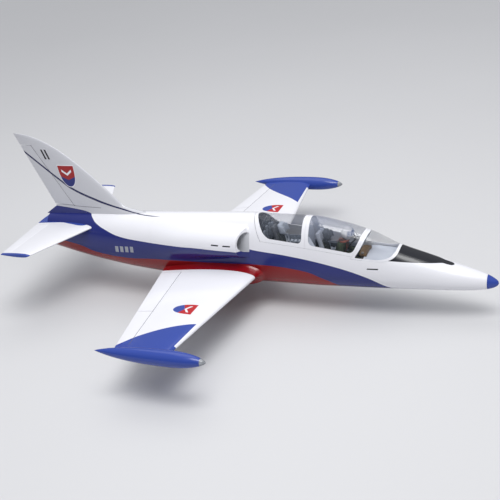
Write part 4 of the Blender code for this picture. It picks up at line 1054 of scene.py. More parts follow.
def bay_cutters():
    """Rooms for the folded gear."""
    rooms = []
    for side in (1, -1):
        wheel = place(MAIN_PIVOT[0], side * (MAIN_PIVOT[1] - MAIN_LEG), WELL_LOW)
        rooms.append(room_round(wheel, (0, 0, 1), MAIN_RADIUS + 0.006, 0.040 - WELL_LOW, 72))
        rooms.append(leg_slot(side))
    front, back = NOSE_PIVOT[0] - NOSE_LEG - NOSE_RADIUS - 0.005, NOSE_PIVOT[0] + 0.030
    rooms.append(room_box((front, -0.0245, -0.08), (back, 0.0245, -0.020)))
    return rooms


def rear_rings(offset, mouth):
    rows = steps(SPLIT_AFT, TAIL_AFT - 0.012, 62)
    rings = [skin_ring(a, offset) for a in rows]
    angles = [math.radians(column(j)) for j in range(COLUMNS)]
    rings.append([place(TAIL_AFT, mouth * math.cos(a), PIPE_Z + mouth * math.sin(a)) for a in angles])
    return rings


def rear_shell():
    outer, inner = rear_rings(0.0, PIPE_MOUTH), rear_rings(-WALL, PIPE_MOUTH - WALL)
    shell = sleeve("skin_rear", outer, inner, PAINT["fuselage"])
    fitted(shell, "airframe", ["fuselage_rear"], 40)


def rear_envelope():
    return loft("room", rear_rings(GAP, PIPE_MOUTH + GAP), PAINT["black"])


def nose_cone():
    rows = [CONE_AFT * (k / 26) ** 2 for k in range(2, 27)]
    rows[-1] = CONE_AFT - GAP
    bm = bmesh.new()
    outer = grid(bm, [skin_ring(a) for a in rows], True)
    inner = grid(bm, [skin_ring(a, -WALL) for a in rows[12:]], True)
    tip, hollow = bm.verts.new(place(0.0, 0, 0)), bm.verts.new(place(0.008, 0, 0))
    for pole, ring in ((tip, outer[0]), (hollow, inner[0])):
        for j in range(COLUMNS):
            bm.faces.new((pole, ring[j], ring[(j + 1) % COLUMNS]))
    for j in range(COLUMNS):
        k = (j + 1) % COLUMNS
        bm.faces.new((outer[-1][j], outer[-1][k], inner[-1][k], inner[-1][j]))
    fitted(thing("cone", bm, PAINT["blue"]), "airframe", ["nose_cone"], 50)


# ---------------------------------------------------------------- canopies
def patch(name, afts, angles, look, proud=0.0, deep=0.003, along=48, corners=(0.0, 0.0)):
    """Body that follows the skin between two curves in aft and two in angle, its corners rounded.

    afts holds functions of the angle and angles functions of the distance aft; corners holds the
    radius of the corners at the front and at the back.
    """
    bm = bmesh.new()
    shares = [0.5 * (1 - math.cos(math.pi * k / along)) for k in range(along + 1)]
    middle = between([f(45.0) for f in afts], 0.5)
    length = afts[1](60.0) - afts[0](60.0)
    around = skin_radius(middle, math.radians(50), False)[0]
    grids = []
    for offset in (proud, -deep):
        rows = []
        for u in shares:
            trim = 0.0
            for reach, radius in ((u * length, corners[0]), ((1 - u) * length, corners[1])):
                if reach < radius:
                    trim = radius - math.sqrt(max(radius ** 2 - (radius - reach) ** 2, 0.0))
            trim = math.degrees(trim / around)
            row = []
            for k in range(ACROSS + 1):
                v = k / ACROSS
                aft = between([f(60.0) for f in afts], u)
                for _ in range(8):
                    degrees = between([angles[0](aft) + trim, angles[1](aft) - trim], v)
                    aft = between([f(min(degrees, 180 - degrees)) for f in afts], u)
                row.append(bm.verts.new(skin(aft, degrees, offset, False)))
            rows.append(row)
        grids.append(rows)
    top, low = grids
    for i in range(along):
        for j in range(ACROSS):
            corners_of = ((i, j), (i, j + 1), (i + 1, j + 1), (i + 1, j))
            bm.faces.new([top[a][b] for a, b in corners_of])
            bm.faces.new([low[a][b] for a, b in corners_of])
    rim = ([(0, j) for j in range(ACROSS)] + [(i, ACROSS) for i in range(along)]
           + [(along, j) for j in range(ACROSS, 0, -1)] + [(i, 0) for i in range(along, 0, -1)])
    for (a, b), (c, d) in zip(rim, rim[1:] + rim[:1]):
        bm.faces.new((top[a][b], top[c][d], low[c][d], low[a][b]))
    bmesh.ops.triangulate(bm, faces=bm.faces)
    return thing(name, bm, look)


SCREEN_BACK = bow(0.583, 0.631)
GLASS_BACK = bow(0.571, 0.619)
FRONT_PANE = (bow(0.593, 0.641), level(0.845))
REAR_PANE = (level(0.878), bow(1.113, 1.060, 54, 1.3))
REAR_END = bow(1.130, 1.085, 47, 1.3)


def hollow(afts, edge, corners=(0.0, 0.0)):
    """Room through the skin between two curves in aft, above an edge on both sides."""
    return patch("room", afts, (edge, mirror_angle(edge)), PAINT["white"], 0.01, 0.012, corners=corners)


def cockpit_cutters():
    front = front_curve(SCREEN_FRONT, SCREEN_LOW)
    return [hollow((front, shifted(SCREEN_BACK, 2 * GAP)), level(SCREEN_LOW)),
            hollow((shifted(SCREEN_BACK, -0.001), REAR_END), sill())]


def glazed(name, body, afts, edge, pane_afts, pane_edge, corners):
    """Painted frame round a clear pane; each has two curves in aft and a lower edge."""
    lower = shifted(edge, GAP_ANGLE)
    frame_part = patch(f"{name}_rim", afts, (lower, mirror_angle(lower)), PAINT["white"], 0.0, WALL)
    carved(frame_part, [hollow(pane_afts, pane_edge, corners)])
    fitted(frame_part, body, [f"{name}_frame"], 40)
    inset = shifted(pane_edge, GAP_ANGLE / 4)
    inner = (shifted(pane_afts[0], GAP / 4), shifted(pane_afts[1], -GAP / 4))
    angles = (inset, mirror_angle(inset))
    pane = patch(f"{name}_pane", inner, angles, PAINT["glass"], -0.0004, 0.0019, corners=corners)
    fitted(pane, body, [f"{name}_glass"], 40)


def canopies():
    """Windshield and the two canopies."""
    front = front_curve(SCREEN_FRONT + GAP, SCREEN_LOW + GAP_ANGLE)
    glazed("windshield", "airframe", (front, shifted(SCREEN_BACK, -GAP)), level(SCREEN_LOW),
           (front_curve(GLASS_FRONT, GLASS_LOW), GLASS_BACK), level(GLASS_LOW), (0.0, 0.010))
    glazed("canopy_front", "canopy_front", (shifted(SCREEN_BACK, GAP), level(MID_BOW - GAP)), sill(),
           FRONT_PANE, sill(PANE_ABOVE_SILL), (0.016, 0.022))
    glazed("canopy_rear", "canopy_rear", (level(MID_BOW + GAP), shifted(REAR_END, -REAR_SWING_GAP)), sill(),
           REAR_PANE, sill(PANE_ABOVE_SILL), (0.022, 0.026))


# ---------------------------------------------------------------- wings and tail
SECTION_POINTS = 40


def section(lead, trail, thick, point, count=SECTION_POINTS):
    """Closed outline of an aerofoil: point(aft, half thickness) places it."""
    chord = trail - lead
    shares = [0.5 * (1 - math.cos(math.pi * k / (count - 1))) for k in range(count)]
    upper = [point(lead + s * chord, aerofoil(s, thick) * chord + 0.0003) for s in reversed(shares)]
    lower = [point(lead + s * chord, -aerofoil(s, thick) * chord - 0.0003) for s in shares]
    return upper + lower


def wing_section(side, y, swell=1.0, ahead=0.0):
    lead, trail, up = wing_edges(y)
    return section(lead - ahead, trail, WING_THICK * swell, lambda aft, half: place(aft, side * y, up + half))


def vane(name, ends, look, normal, tail_thick=0.0008):
    """Control surface between ends of (hinge point, trailing point, nose radius)."""
    back = Vector((-1, 0, 0))
    rings = []
    for hinge, trail, radius in ends:
        ring = half_round(hinge, back, normal, radius)
        rings.append(ring + [trail - normal * tail_thick, trail + normal * tail_thick])
    return loft(name, rings, look)


def groove(ends, normal, clear=0.0015):
    back = Vector((-1, 0, 0))
    rings = []
    for hinge, trail, radius in ends:
        ring = half_round(hinge, back, normal, radius + clear)
        far = trail + back * 0.03
        rings.append(ring + [far - normal * (radius + clear), far + normal * (radius + clear)])
    return loft("room", rings, PAINT["black"])


def wing_rooms(side):
    """Rooms of the main leg, its retract unit, the aileron servo and the joiner tube."""
    aft = MAIN_PIVOT[0]
    half, start, end, top = UNIT_SLOT
    lead, _, height = wing_edges(0.70)
    servo_low = (lead + 0.1095, side * 0.6895, height - 0.040)
    servo_high = (lead + 0.1505, side * 0.7105, height + 0.0075)
    return [leg_slot(side), room_box((aft - half, side * start, WELL_LOW), (aft + half, side * end, top)),
            room_box(servo_low, servo_high),
            room_round(place(1.270, side * 0.140, 0.0275), (0, side, 0), 0.0134, 0.2215, 48)]


def wings():
    """Wing panels, flaps, ailerons and tip tanks."""
    up = Vector((0, 0, 1))
    for side, word in ((1, "left"), (-1, "right")):
        rows = [wing_section(side, y) for y in steps(ROOT_Y + GAP, WING_END_Y)]
        panel = loft(f"skin_wing_{word}", rows, PAINT["wing"])
        rooms = []
        for kind, (low, high), inner_gap in (("flap", FLAP_Y, 0.0015), ("aileron", AILERON_Y, 0.0012)):
            rooms.append(groove([wing_hinge(side, low - inner_gap), wing_hinge(side, high + 0.0010)], up))
            rows = [wing_hinge(side, y) for y in steps(low, high)]
            piece = vane(f"skin_{kind}_{word}", rows, PAINT["wing"], up)
            fitted(piece, f"{kind}_{word}", [f"{kind}_{word}"], 30)
        rooms += wing_rooms(side)
        carved(panel, rooms)
        fitted(panel, "airframe", [f"wing_{word}"], 35)
        tip_tank(side, word)


def tank_radius(s):
    """Radius of a tip tank at a share of its length."""
    if s < TANK_WIDEST:
        return TANK_RADIUS * (1 - ((TANK_WIDEST - s) / TANK_WIDEST) ** 2.2) ** 0.62
    return TANK_RADIUS * (1 - min((s - TANK_WIDEST) / (1 - TANK_WIDEST), 1.0) ** 2.4) ** 0.9


def tip_tank(side, word):
    """Tip tank, its smoked front and the thin seam ring between them."""
    length = TANK_AFT[1] - TANK_AFT[0]
    front = place(TANK_AFT[0], side * TIP_Y, TANK_Z)
    body = [LENS_SHARE + (1 - LENS_SHARE) * (0.5 - 0.5 * math.cos(math.pi * k / 72)) for k in range(73)]
    profile = [(-s * length, max(tank_radius(s), 0.0008)) for s in body]
    shell = turned(f"tank_{word}", front, (1, 0, 0), profile, PAINT["blue"], 72)
    ends = [wing_section(side, y, 1.02, 0.0004) for y in (0.870, WING_END_Y + GAP)]
    carved(shell, [loft("room", ends, PAINT["black"])])
    fitted(shell, "airframe", [f"tip_tank_{word}"], 40)
    nose = [LENS_SHARE * (k / 16) ** 2 for k in range(17)]
    profile = [(-s * length, max(tank_radius(s), 0.0006)) for s in nose]
    lens = turned(f"lens_{word}", front + Vector((GAP, 0, 0)), (1, 0, 0), profile, PAINT["lens"], 72)
    fitted(lens, "airframe", [f"tank_lens_{word}"], 40)


def stabilisers():
    up = Vector((0, 0, 1))
    for side, word in ((1, "left"), (-1, "right")):
        def row(y):
            lead, trail, height = stab_edges(y)
            return section(lead, trail, STAB_THICK, lambda aft, half: place(aft, side * y, height + half))

        def hinge_of(y):
            lead, trail, height = stab_edges(y)
            hinge = lerp(ELEVATOR_HINGE, (y - STAB_ROOT_Y) / (STAB_TIP_Y - STAB_ROOT_Y))
            radius = aerofoil((hinge - lead) / (trail - lead), STAB_THICK) * (trail - lead) + 0.0002
            return place(hinge, side * y, height), place(trail, side * y, height), radius

        panel = loft(f"skin_stab_{word}", [row(y) for y in steps(STAB_INNER_Y, STAB_TIP_Y)], PAINT["stab"])
        room = groove([hinge_of(ELEVATOR_Y[0] - 0.0012), hinge_of(ELEVATOR_Y[1] + 0.0012)], up)
        bore = room_round(place(2.160, side * 0.040, 0.2018), (0, side, 0), 0.0054, 0.161, 32)
        carved(panel, [room, bore, rear_envelope()])
        fitted(panel, "airframe", [f"stab_{word}"], 35)
        piece = vane(f"skin_elevator_{word}", [hinge_of(y) for y in steps(*ELEVATOR_Y)], PAINT["stab"], up)
        fitted(piece, f"elevator_{word}", [f"elevator_{word}"], 30)


def fin_and_rudder():
    side = Vector((0, 1, 0))
    rows = []
    top = 0.676
    for k in range(57):
        t = k / 56
        height = FIN_BASE_Z + (top - FIN_BASE_Z) * (1 - (1 - t) ** 1.5)
        rows.append(section(lead_at(height), fin_trail(height), fin_thick(height),
                            lambda aft, half, height=height: place(aft, half, height)))
    fin = loft("skin_fin", rows, PAINT["fin"])
    low, high = RUDDER_LOW[1], 0.612
    room = groove([fin_station(z, lead_at(z)) for z in (low - 0.0035, high + 0.0035)], side)
    carved(fin, [room, rear_envelope()])
    fitted(fin, "airframe", ["fin"], 35)
    rows = [fin_station(z, lead_at(z)) for z in steps(low, high)]
    fitted(vane("skin_rudder", rows, PAINT["fin"], side), "rudder", ["rudder"], 30)


# ---------------------------------------------------------------- cockpit
def tub():
    """Open tray of the cockpit, wider towards the rear seat."""
    rows = ((0.475, 0.048, 0.092), (0.580, 0.060, 0.100), (0.720, 0.070, 0.112), (1.095, 0.075, 0.150))
    bm = bmesh.new()

    def ring(aft, half, rim, inset):
        y, low = half - inset, 0.020 + inset
        return [bm.verts.new(place(aft, *spot)) for spot in ((y, rim), (y, low), (-y, low), (-y, rim))]

    outer = [ring(a, h, r, 0.0) for a, h, r in rows]
    inner = [ring(a + e, h, r, 0.002) for (a, h, r), e in zip(rows, (0.002, 0, 0, -0.002))]
    for group in (outer, inner):
        for a, b in zip(group, group[1:]):
            for j in range(3):
                bm.faces.new((a[j], a[j + 1], b[j + 1], b[j]))
        bm.faces.new(group[0])
        bm.faces.new(group[-1])
    for j in (0, 3):
        for k in range(3):
            bm.faces.new((outer[k][j], outer[k + 1][j], inner[k + 1][j], inner[k][j]))
    for k in (0, 3):
        bm.faces.new((outer[k][0], outer[k][3], inner[k][3], inner[k][0]))
    bmesh.ops.subdivide_edges(bm, edges=list(bm.edges), cuts=3, use_grid_fill=True)
    fitted(thing("tub", bm, PAINT["tub"]), "airframe", ["cockpit_tub"], 40)


def consoles():
    """Side consoles with their switches, and the rails above them."""
    boxes = bmesh.new()
    knobs = bmesh.new()
    near, far = 0.041, 0.0665
    for start, end, top in ((0.625, 0.850, 0.098), (0.890, 1.075, 0.128)):
        slabs(boxes, (start, near, 0.024), (end, far, top), 0.002)
        for k in range(9):
            at = start + 0.016 + k * (end - start - 0.03) / 8
            inner = near + 0.003 + 0.002 * (k % 3)
            slabs(knobs, (at - 0.005, inner, top - 0.001), (at + 0.004, far - 0.004, top + 0.0022), 0.0007)
            slabs(knobs, (at - 0.001, near + 0.007, top), (at + 0.0016, near + 0.010, top + 0.010), 0.0006)
    for start, end, rim in ((0.640, 0.845, 0.114), (0.895, 1.085, 0.137)):
        slabs(boxes, (start, 0.0690, rim - 0.018), (end, 0.0725, rim + 0.014), 0.0012)
    fitted(thing("consoles", boxes, PAINT["console"]), "airframe", (), 40)
    fitted(thing("console_switches", knobs, PAINT["pale"]), "airframe", (), 40)


def bulkhead():
    """Bulkhead behind the rear seat, filling the section under the canopy, and the boxes on it."""
    aft, low, top = 1.078, 0.150, 0.268
    rings = []
    for layer in (aft, aft + 0.004):
        ring = []
        for k in range(65):
            point = skin(aft, 20 + 140 * k / 64, -0.010, False)
            ring.append(place(layer, point.y, max(min(point.z - NOSE_Z, top), low)))
        ring += [place(layer, ring[-1].y * 0.98, low), place(layer, ring[0].y * 0.98, low)]
        rings.append(ring)
    fitted(loft("rear_bulkhead", rings, PAINT["tub"]), "airframe", (), 30)
    bm = bmesh.new()
    for k in range(4):
        y, top = -0.060 + 0.034 * k, 0.240 - 0.012 * abs(k - 1.5)
        slab(bm, (1.070, y, 0.150), (1.079, y + 0.020, top), 0.003)
    fitted(thing("bulkhead_boxes", bm, PAINT["console"]), "airframe", (), 40)


def deck_angle(aft, up):
    """Angle round the section at which the inside of the skin passes a height."""
    low, high = 5.0, 89.0
    for _ in range(24):
        middle = (low + high) / 2
        if skin(aft, middle, -0.006, False).z - NOSE_Z < up:
            low = middle
        else:
            high = middle
    return low


def deck_half(aft, up):
    """Half width inside the skin at a height, less a little room."""
    return skin(aft, deck_angle(aft, up), -0.006, False).y


def arch(aft, half, base, rise, power, foot, low):
    """Closed outline across the cockpit: an arch on two feet."""
    turns = [math.pi * j / 32 for j in range(33)]
    ring = [place(aft, half * math.cos(t), base + rise * math.sin(t) ** power) for t in turns]
    return ring + [place(aft, -foot, low), place(aft, foot, low)]


def instrument_panel(word, low, high):
    bm = bmesh.new()
    slab(bm, low, high, 0.003)
    piece = thing(f"panel_{word}", bm, PAINT[f"dials_{word}"])
    fitted(piece, "airframe", [f"instrument_panel_{word}"], 40)


def front_coaming():
    """Deck between windshield and front panel, slightly arched, and the hood over the dials."""
    rings = []
    for k in range(25):
        aft = 0.462 + 0.134 * k / 24
        half = deck_half(aft, 0.108)
        ring = []
        for j in range(33):
            y = half * (1 - 2 * j / 32)
            bulge = 0.012 * k / 24 * math.cos(math.pi * y / (2 * half)) ** 2
            ring.append(place(aft, y, 0.110 + bulge))
        rings.append(ring + [place(aft, -half, 0.1075), place(aft, half, 0.1075)])
    fitted(loft("coaming_front", rings, PAINT["pale"]), "airframe", (), 50)
    hood = [arch(aft, 0.0465, 0.117, 0.022, 0.6, 0.0440, 0.115) for aft in (0.585, 0.590, 0.616, 0.6175)]
    fitted(loft("hood_front", hood, PAINT["dash"]), "airframe", (), 50)


def dividing_screen():
    """Pale screen between the cockpits, and the side sheets that rise to it."""
    rows = ((0.862, 0.046, 0.060, 0.226), (0.864, 0.050, 0.055, 0.230), (0.8685, 0.050, 0.055, 0.230))
    rings = [arch(aft, half, high - 0.030, 0.030, 0.8, half, low) for aft, half, low, high in rows]
    fitted(loft("screen_between", rings, PAINT["pale"]), "airframe", (), 50)
    for side, word in ((1, "left"), (-1, "right")):
        rings = []
        for aft in steps(0.796, 0.860, 8):
            low = deck_angle(aft, 0.128)
            high = deck_angle(aft, 0.128 + 0.090 * min((aft - 0.780) / 0.06, 1.0))
            turns = steps(low, high)
            line = [skin(aft, t, -0.0075, False) for t in turns]
            line += [skin(aft, t, -0.0090, False) for t in reversed(turns)]
            rings.append([Vector((p.x, side * p.y, p.z)) for p in line])
        fitted(loft(f"screen_side_{word}", rings, PAINT["pale"]), "airframe", (), 50)


def seat(name, aft, base, shell_look, rest_look):
    """Ejection seat: bucket, side rails, cushions and headrest box."""
    bm = bmesh.new()
    slab(bm, (aft - 0.100, -0.035, 0.0230), (aft + 0.040, 0.035, 0.060 + base), 0.005)
    slabs(bm, (aft - 0.100, 0.0300, 0.045 + base), (aft + 0.015, 0.0355, 0.094 + base), 0.002, 0.10)
    slabs(bm, (aft + 0.004, 0.0250, 0.060 + base), (aft + 0.022, 0.0330, 0.212 + base), 0.002, 0.22)
    slab(bm, (aft + 0.014, -0.026, 0.060 + base), (aft + 0.030, 0.026, 0.205 + base), 0.004, 0.22)
    fitted(thing(f"{name}_shell", bm, PAINT[shell_look]), "airframe", [name], 40)
    pads = bmesh.new()
    slab(pads, (aft - 0.092, -0.0285, 0.058 + base), (aft + 0.006, 0.0285, 0.073 + base), 0.0055)
    slab(pads, (aft + 0.001, -0.0235, 0.070 + base), (aft + 0.016, 0.0235, 0.170 + base), 0.0060, 0.22)
    slab(pads, (aft + 0.001, -0.0180, 0.100 + base), (aft + 0.010, 0.0180, 0.150 + base), 0.0040, 0.22)
    fitted(thing(f"{name}_pads", pads, PAINT["seat"]), "airframe", (), 40)
    rest = bmesh.new()
    slab(rest, (aft - 0.004, -0.0245, 0.172 + base), (aft + 0.018, 0.0245, 0.219 + base), 0.0060, 0.22)
    slabs(rest, (aft - 0.014, 0.0215, 0.178 + base), (aft + 0.012, 0.0270, 0.212 + base), 0.0024, 0.22)
    fitted(thing(f"{name}_headrest", rest, PAINT[rest_look]), "airframe", (), 40)


def seat_straps(name, aft, base):
    """Loose shoulder straps of the empty seat."""
    straps = bmesh.new()
    line = (((aft - 0.006, 0.013, 0.160 + base), 0.0042, 0.0012),
            ((aft - 0.012, 0.014, 0.120 + base), 0.0042, 0.0012),
            ((aft - 0.030, 0.016, 0.088 + base), 0.0042, 0.0012),
            ((aft - 0.050, 0.010, 0.079 + base), 0.0042, 0.0012))
    for side in (1, -1):
        tube(straps, line, 8, 12, side)
    fitted(thing(f"{name}_straps", straps, PAINT["rest"]), "airframe", (), 60)


TORSO = (
    ((0.738, 0, 0.078), 0.026, 0.020), ((0.732, 0, 0.092), 0.031, 0.025), ((0.722, 0, 0.120), 0.030, 0.024),
    ((0.712, 0, 0.145), 0.036, 0.025), ((0.706, 0, 0.160), 0.037, 0.022), ((0.700, 0, 0.172), 0.020, 0.015),
    ((0.696, 0, 0.182), 0.012, 0.012),
)
ARM = (
    ((0.708, 0.036, 0.160), 0.011, 0.012), ((0.706, 0.043, 0.142), 0.0120, 0.0125),
    ((0.696, 0.046, 0.112), 0.0105, 0.011), ((0.672, 0.042, 0.104), 0.0095, 0.0095),
    ((0.648, 0.030, 0.110), 0.0080, 0.0080),
)
LEG = (
    ((0.730, 0.014, 0.084), 0.0150, 0.0150), ((0.690, 0.020, 0.092), 0.0150, 0.0140),
    ((0.648, 0.024, 0.094), 0.0125, 0.0125), ((0.622, 0.024, 0.070), 0.0110, 0.0110),
    ((0.618, 0.023, 0.040), 0.0090, 0.0090),
)
HAND = (
    ((0.652, 0.031, 0.109), 0.0070, 0.0070), ((0.642, 0.026, 0.113), 0.0090, 0.0075),
    ((0.630, 0.020, 0.112), 0.0060, 0.0055),
)
BOOT = (
    ((0.624, 0.023, 0.040), 0.0085, 0.0090), ((0.616, 0.023, 0.031), 0.0090, 0.0085),
    ((0.596, 0.023, 0.030), 0.0070, 0.0060),
)
HOSE = (
    ((0.658, 0, 0.196), 0.0085, 0.0075), ((0.648, 0, 0.191), 0.0080, 0.0080),
    ((0.645, 0, 0.182), 0.0045, 0.0045), ((0.656, 0.008, 0.166), 0.0036, 0.0036),
    ((0.672, 0.020, 0.150), 0.0036, 0.0036), ((0.684, 0.028, 0.130), 0.0036, 0.0036),
)
STRAP = (
    ((0.730, 0.013, 0.171), 0.0050, 0.0012), ((0.708, 0.014, 0.1855), 0.0050, 0.0013),
    ((0.688, 0.014, 0.170), 0.0052, 0.0014), ((0.686, 0.013, 0.150), 0.0052, 0.0014),
    ((0.692, 0.011, 0.125), 0.0052, 0.0014), ((0.704, 0.008, 0.104), 0.0052, 0.0014),
)


def pilot_clothes():
    """Suit of the dummy pilot, with gloves and boots."""
    suit = bmesh.new()
    tube(suit, TORSO, 6, 32)
    gloves = bmesh.new()
    for side in (1, -1):
        tube(suit, ARM, 6, 20, side)
        tube(suit, LEG, 6, 20, side)
        tube(gloves, HAND, 5, 16, side)
        tube(gloves, BOOT, 5, 16, side)
    fitted(thing("pilot_suit", suit, PAINT["suit"]), "airframe", ["pilot_figure"], 60)
    fitted(thing("pilot_gloves_boots", gloves, PAINT["black"]), "airframe", (), 60)


def pilot_helmet():
    """Helmet with a brow over the visor, narrower at the neck."""
    rows = []
    for k in range(25):
        phi = math.pi * (k + 0.35) / 25.4
        height = HELMET_TALL * math.cos(phi)
        bottom = 0.86 if height < -0.016 else 1.0
        ring = []
        for j in range(48):
            turn = 2 * math.pi * j / 48
            reach = math.sin(phi) * (0.0275 if math.cos(turn) < 0 else 0.0265) * bottom
            brow = 0.0022 * max(math.cos(turn), 0.0) ** 3 * math.exp(-((height - 0.006) / 0.008) ** 2)
            ahead = reach * math.cos(turn) * 1.10 + brow
            ring.append(place(*HEAD) + Vector((ahead, reach * math.sin(turn) * 0.98, height)))
        rows.append(ring)
    capped("pilot_helmet", rows, PAINT["helmet"], 60)


def pilot_visor():
    rows = []
    turns = [math.radians(-78 + 156 * j / 32) for j in range(33)]
    for k in range(13):
        height = -0.006 + 0.024 * k / 12
        reach = 0.0285 * math.sqrt(max(1 - (height / HELMET_TALL) ** 2, 0.05))
        layers = [(reach + 0.0014, t) for t in turns] + [(reach - 0.0006, t) for t in reversed(turns)]
        rows.append([place(*HEAD) + Vector((out * math.cos(t) * 1.08, out * math.sin(t) * 0.98, height))
                     for out, t in layers])
    capped("pilot_visor", rows, PAINT["visor"], 50)


def capped(name, rows, look, smooth):
    """Body through rings with plain polygons as its ends."""
    bm = bmesh.new()
    made = grid(bm, rows, True)
    bm.faces.new(made[0])
    bm.faces.new(made[-1])
    fitted(thing(name, bm, look), "airframe", (), smooth)


def pilot_harness():
    """Oxygen mask with its hose, harness straps and collar."""
    mask = bmesh.new()
    tube(mask, HOSE, 8, 16)
    fitted(thing("pilot_mask_hose", mask, PAINT["mask"]), "airframe", (), 60)
    straps = bmesh.new()
    for side in (1, -1):
        tube(straps, STRAP, 8, 12, side)
    collar = []
    for k in range(41):
        across, along = math.sin(2 * math.pi * k / 40), math.cos(2 * math.pi * k / 40)
        spot = place(0.696 + 0.021 * along, 0.024 * across, 0.174 - 0.004 * along)
        collar.append((spot, 0.0058, 0.0048))
    limb(straps, collar, 14)
    fitted(thing("pilot_harness", straps, PAINT["strap"]), "airframe", (), 60)


# ---------------------------------------------------------------- engine and gear
def jet_pipe():
    """Steel pipe from its bell at the turbine to the tail, drawn as one ring in section."""
    start = place(2.035, 0, PIPE_Z - 0.006)
    run = place(2.324, 0, PIPE_Z) - start
    end = run.length
    outside = [(0.0, 0.050), (0.004, 0.0478), (0.012, 0.0446), (0.022, 0.0426), (0.034, 0.0420),
               (end - 0.004, 0.0415), (end - 0.001, 0.0420), (end, 0.0414)]
    inside = [(end - 0.001, 0.0402), (end - 0.006, 0.0400), (0.034, 0.0405), (0.020, 0.0412), (0.011, 0.0432),
              (0.004, 0.0464), (0.0, 0.0485), (0.0, 0.050)]
    pipe = turned("jet_pipe_skin", start, run, outside + inside, PAINT["steel"], 96)
    fitted(pipe, "airframe", ["tailpipe"], 45)


def wheel(prefix, word, hub, axis, radius, width, bodies):
    """Tyre with a grooved tread and a spoked hub."""
    w, rim = width / 2, radius * 0.62
    outline = [(-w * 0.80, rim), (-w * 0.93, radius * 0.68), (-w, radius * 0.78), (-w * 0.95, radius * 0.87),
               (-w * 0.80, radius * 0.935), (-w * 0.55, radius * 0.975)]
    tread = []
    for k in range(5):
        at = -w * 0.50 + w * 0.25 * k
        tread += [(at - w * 0.09, radius * 0.992), (at - w * 0.075, radius * 0.972),
                  (at - w * 0.045, radius * 0.972), (at - w * 0.03, radius * 0.994)]
    tread.append((w * 0.50, radius * 0.985))
    other = [(-a, r) for a, r in reversed(outline)]
    profile = [*outline, *tread, *other, outline[0]]
    tyre = turned(f"{prefix}_rubber{word}", hub, axis, profile, PAINT["rubber"], 72)
    fitted(tyre, bodies, [f"{prefix}_tyre{word}"], 40)
    r = rim - GAP
    disc = [(-w * 0.80, 0.0034), (-w * 0.86, 0.006), (-w * 0.84, 0.0095), (-w * 0.70, 0.0110),
            (-w * 0.38, 0.0135), (-w * 0.34, r - 0.007), (-w * 0.45, r - 0.0045), (-w * 0.82, r - 0.0030),
            (-w * 0.86, r - 0.0010), (-w * 0.80, r)]
    rest = [(-a, q) for a, q in reversed(disc)]
    hub_part = turned(f"{prefix}_rim{word}", hub, axis, [*disc, *rest, disc[0]], PAINT["alloy"], 72)
    holes = []
    axis = Vector(axis)
    side = axis.orthogonal().normalized()
    for k in range(6):
        turn = Matrix.Rotation(math.pi * k / 3, 3, axis)
        at = Vector(hub) + turn @ side * (rim * 0.60)
        holes.append(room_round(at - axis * width, axis, rim * 0.13, 2 * width, 24))
    carved(hub_part, holes)
    fitted(hub_part, bodies, [f"{prefix}_hub{word}"], 40)


def gear():
    aft, y, up = MAIN_PIVOT
    for side, word in ((1, "left"), (-1, "right")):
        pivot = place(aft, side * y, up)
        turn = Matrix.Rotation(math.radians(-90 * side), 4, 'X')
        hub = turn @ Vector((0, side * MAIN_OFFSET, -MAIN_LEG)) + pivot
        wheel("main", f"_{word}", hub, (0, 0, 1), MAIN_RADIUS, MAIN_WIDTH, f"main_wheel_{word}")
    pivot = place(NOSE_PIVOT[0], 0, NOSE_PIVOT[1])
    turn = Matrix.Rotation(math.radians(-NOSE_SWING), 4, 'Y')
    hub = turn @ Vector((0, 0, -NOSE_LEG)) + pivot
    wheel("nose", "", hub, (0, 1, 0), NOSE_RADIUS, NOSE_WIDTH, "nose_wheel")


KEPT = {
    "battery": "wrap", "receiver": "black", "equipment_tray": "plywood", "turbine_former": "plywood",
    "fuel_tank": "tank", "turbine": "alloy", "wing_tube": "carbon", "stab_tube": "carbon",
    "servo_aileron_left": "black", "servo_aileron_right": "black", "main_retract_unit_left": "black",
    "main_retract_unit_right": "black", "nose_retract_unit": "black", "main_leg_left": "alloy",
    "main_leg_right": "alloy", "nose_leg": "alloy", "nose_fork": "alloy", "main_leg_door_left": "fuselage",
    "main_leg_door_right": "fuselage", "nose_leg_door": "fuselage",
}


def dress_nodes():
    """Procedural finishes on the plain machine parts that keep their CAD shape."""
    for name, look in KEPT.items():
        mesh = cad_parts[name].data
        for k in range(len(mesh.materials)):
            mesh.materials[k] = PAINT[look]


# ---------------------------------------------------------------- studio
# the floor lies under the wheels as they hang with the gear down
FLOOR_Z = -0.1170
SUN_FROM = (0.25, -0.35, 1.0)
# name, position, size, power
AREA_LIGHTS = (("key", (1.0, -1.6, 4.5), 2.2, 100.0), ("top", (-1.2, 1.5, 5.0), 4.0, 60.0))
CAMERA_AT = (1.8849, -3.8343, 2.1837)
CAMERA_RIGHT = (0.917288, 0.376519, -0.129679)
CAMERA_UP = (-0.056932, 0.446289, 0.893076)
CAMERA_FORWARD = (-0.394135, 0.811825, -0.430812)
LENS = 70.0


def studio_floor():
    bm = bmesh.new()
    bmesh.ops.create_grid(bm, x_segments=40, y_segments=40, size=30.0)
    look = satin("studio_floor", (0.60, 0.60, 0.61), (0.62, 0.62, 0.63), 0.80, 0.4, 0.0, 0.00002)
    floor = thing("studio_floor", bm, look)
    floor.location.z = FLOOR_Z


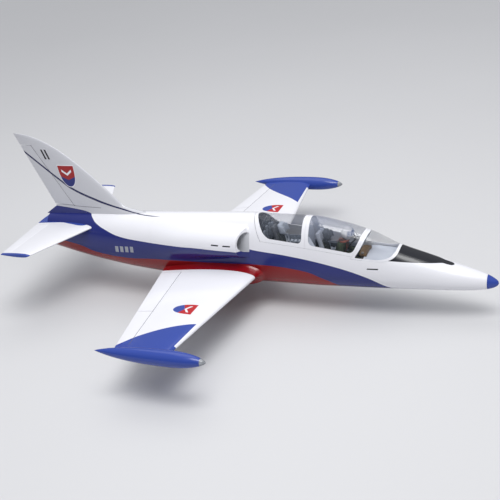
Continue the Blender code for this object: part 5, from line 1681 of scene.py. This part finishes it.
def sky():
    """Soft sky, brighter with height."""
    world = bpy.data.worlds.new("studio")
    bpy.context.scene.world = world
    world.use_nodes = True
    tree = world.node_tree
    split = tree.nodes.new("ShaderNodeSeparateXYZ")
    tree.links.new(tree.nodes.new("ShaderNodeTexCoord").outputs["Generated"], split.inputs[0])
    ramp = tree.nodes.new("ShaderNodeMapRange")
    for name, value in (("From Min", 0.0), ("From Max", 0.8), ("To Min", 0.12), ("To Max", 0.62)):
        ramp.inputs[name].default_value = value
    tree.links.new(split.outputs[2], ramp.inputs["Value"])
    tree.nodes["Background"].inputs["Color"].default_value = (0.93, 0.95, 1.0, 1.0)
    tree.links.new(ramp.outputs[0], tree.nodes["Background"].inputs["Strength"])


def lamp(name, data, at, towards):
    """Place a light and turn it so that it shines along a direction."""
    made = bpy.data.objects.new(name, data)
    made.location = at
    made.rotation_euler = towards.to_track_quat('-Z', 'Y').to_euler()
    bpy.context.scene.collection.objects.link(made)


def lights():
    data = bpy.data.lights.new("overhead", 'SUN')
    data.energy = 0.9
    data.angle = 0.7
    lamp("overhead", data, (0, 0, 0), -Vector(SUN_FROM))
    for name, at, size, power in AREA_LIGHTS:
        data = bpy.data.lights.new(name, 'AREA')
        data.shape = 'SQUARE'
        data.size = size
        data.energy = power
        lamp(name, data, at, -Vector(at))


def camera():
    data = bpy.data.cameras.new("view")
    data.lens = LENS
    data.sensor_width = 36.0
    data.clip_end = 200.0
    made = bpy.data.objects.new("view", data)
    turn = Matrix((CAMERA_RIGHT, CAMERA_UP, -Vector(CAMERA_FORWARD))).transposed().to_4x4()
    made.matrix_world = Matrix.Translation(CAMERA_AT) @ turn
    bpy.context.scene.collection.objects.link(made)
    bpy.context.scene.camera = made


def studio():
    studio_floor()
    bpy.context.scene.view_settings.view_transform = 'Standard'
    sky()
    lights()
    camera()


def build():
    make_finishes()
    nose_cone()
    front_shell()
    rear_shell()
    canopies()
    ducts()
    wings()
    stabilisers()
    fin_and_rudder()
    tub()
    consoles()
    bulkhead()
    instrument_panel("front", (0.596, -0.044, 0.0225), (0.611, 0.044, 0.134))
    front_coaming()
    instrument_panel("rear", (0.869, -0.048, 0.0225), (0.877, 0.048, 0.215))
    dividing_screen()
    seat("seat_front", 0.770, 0.0, "pale", "seat")
    seat("seat_rear", 0.990, 0.024, "frame", "rest")
    seat_straps("seat_rear", 0.990, 0.024)
    pilot_clothes()
    pilot_helmet()
    pilot_visor()
    pilot_harness()
    jet_pipe()
    gear()
    dress_nodes()
    studio()


build()
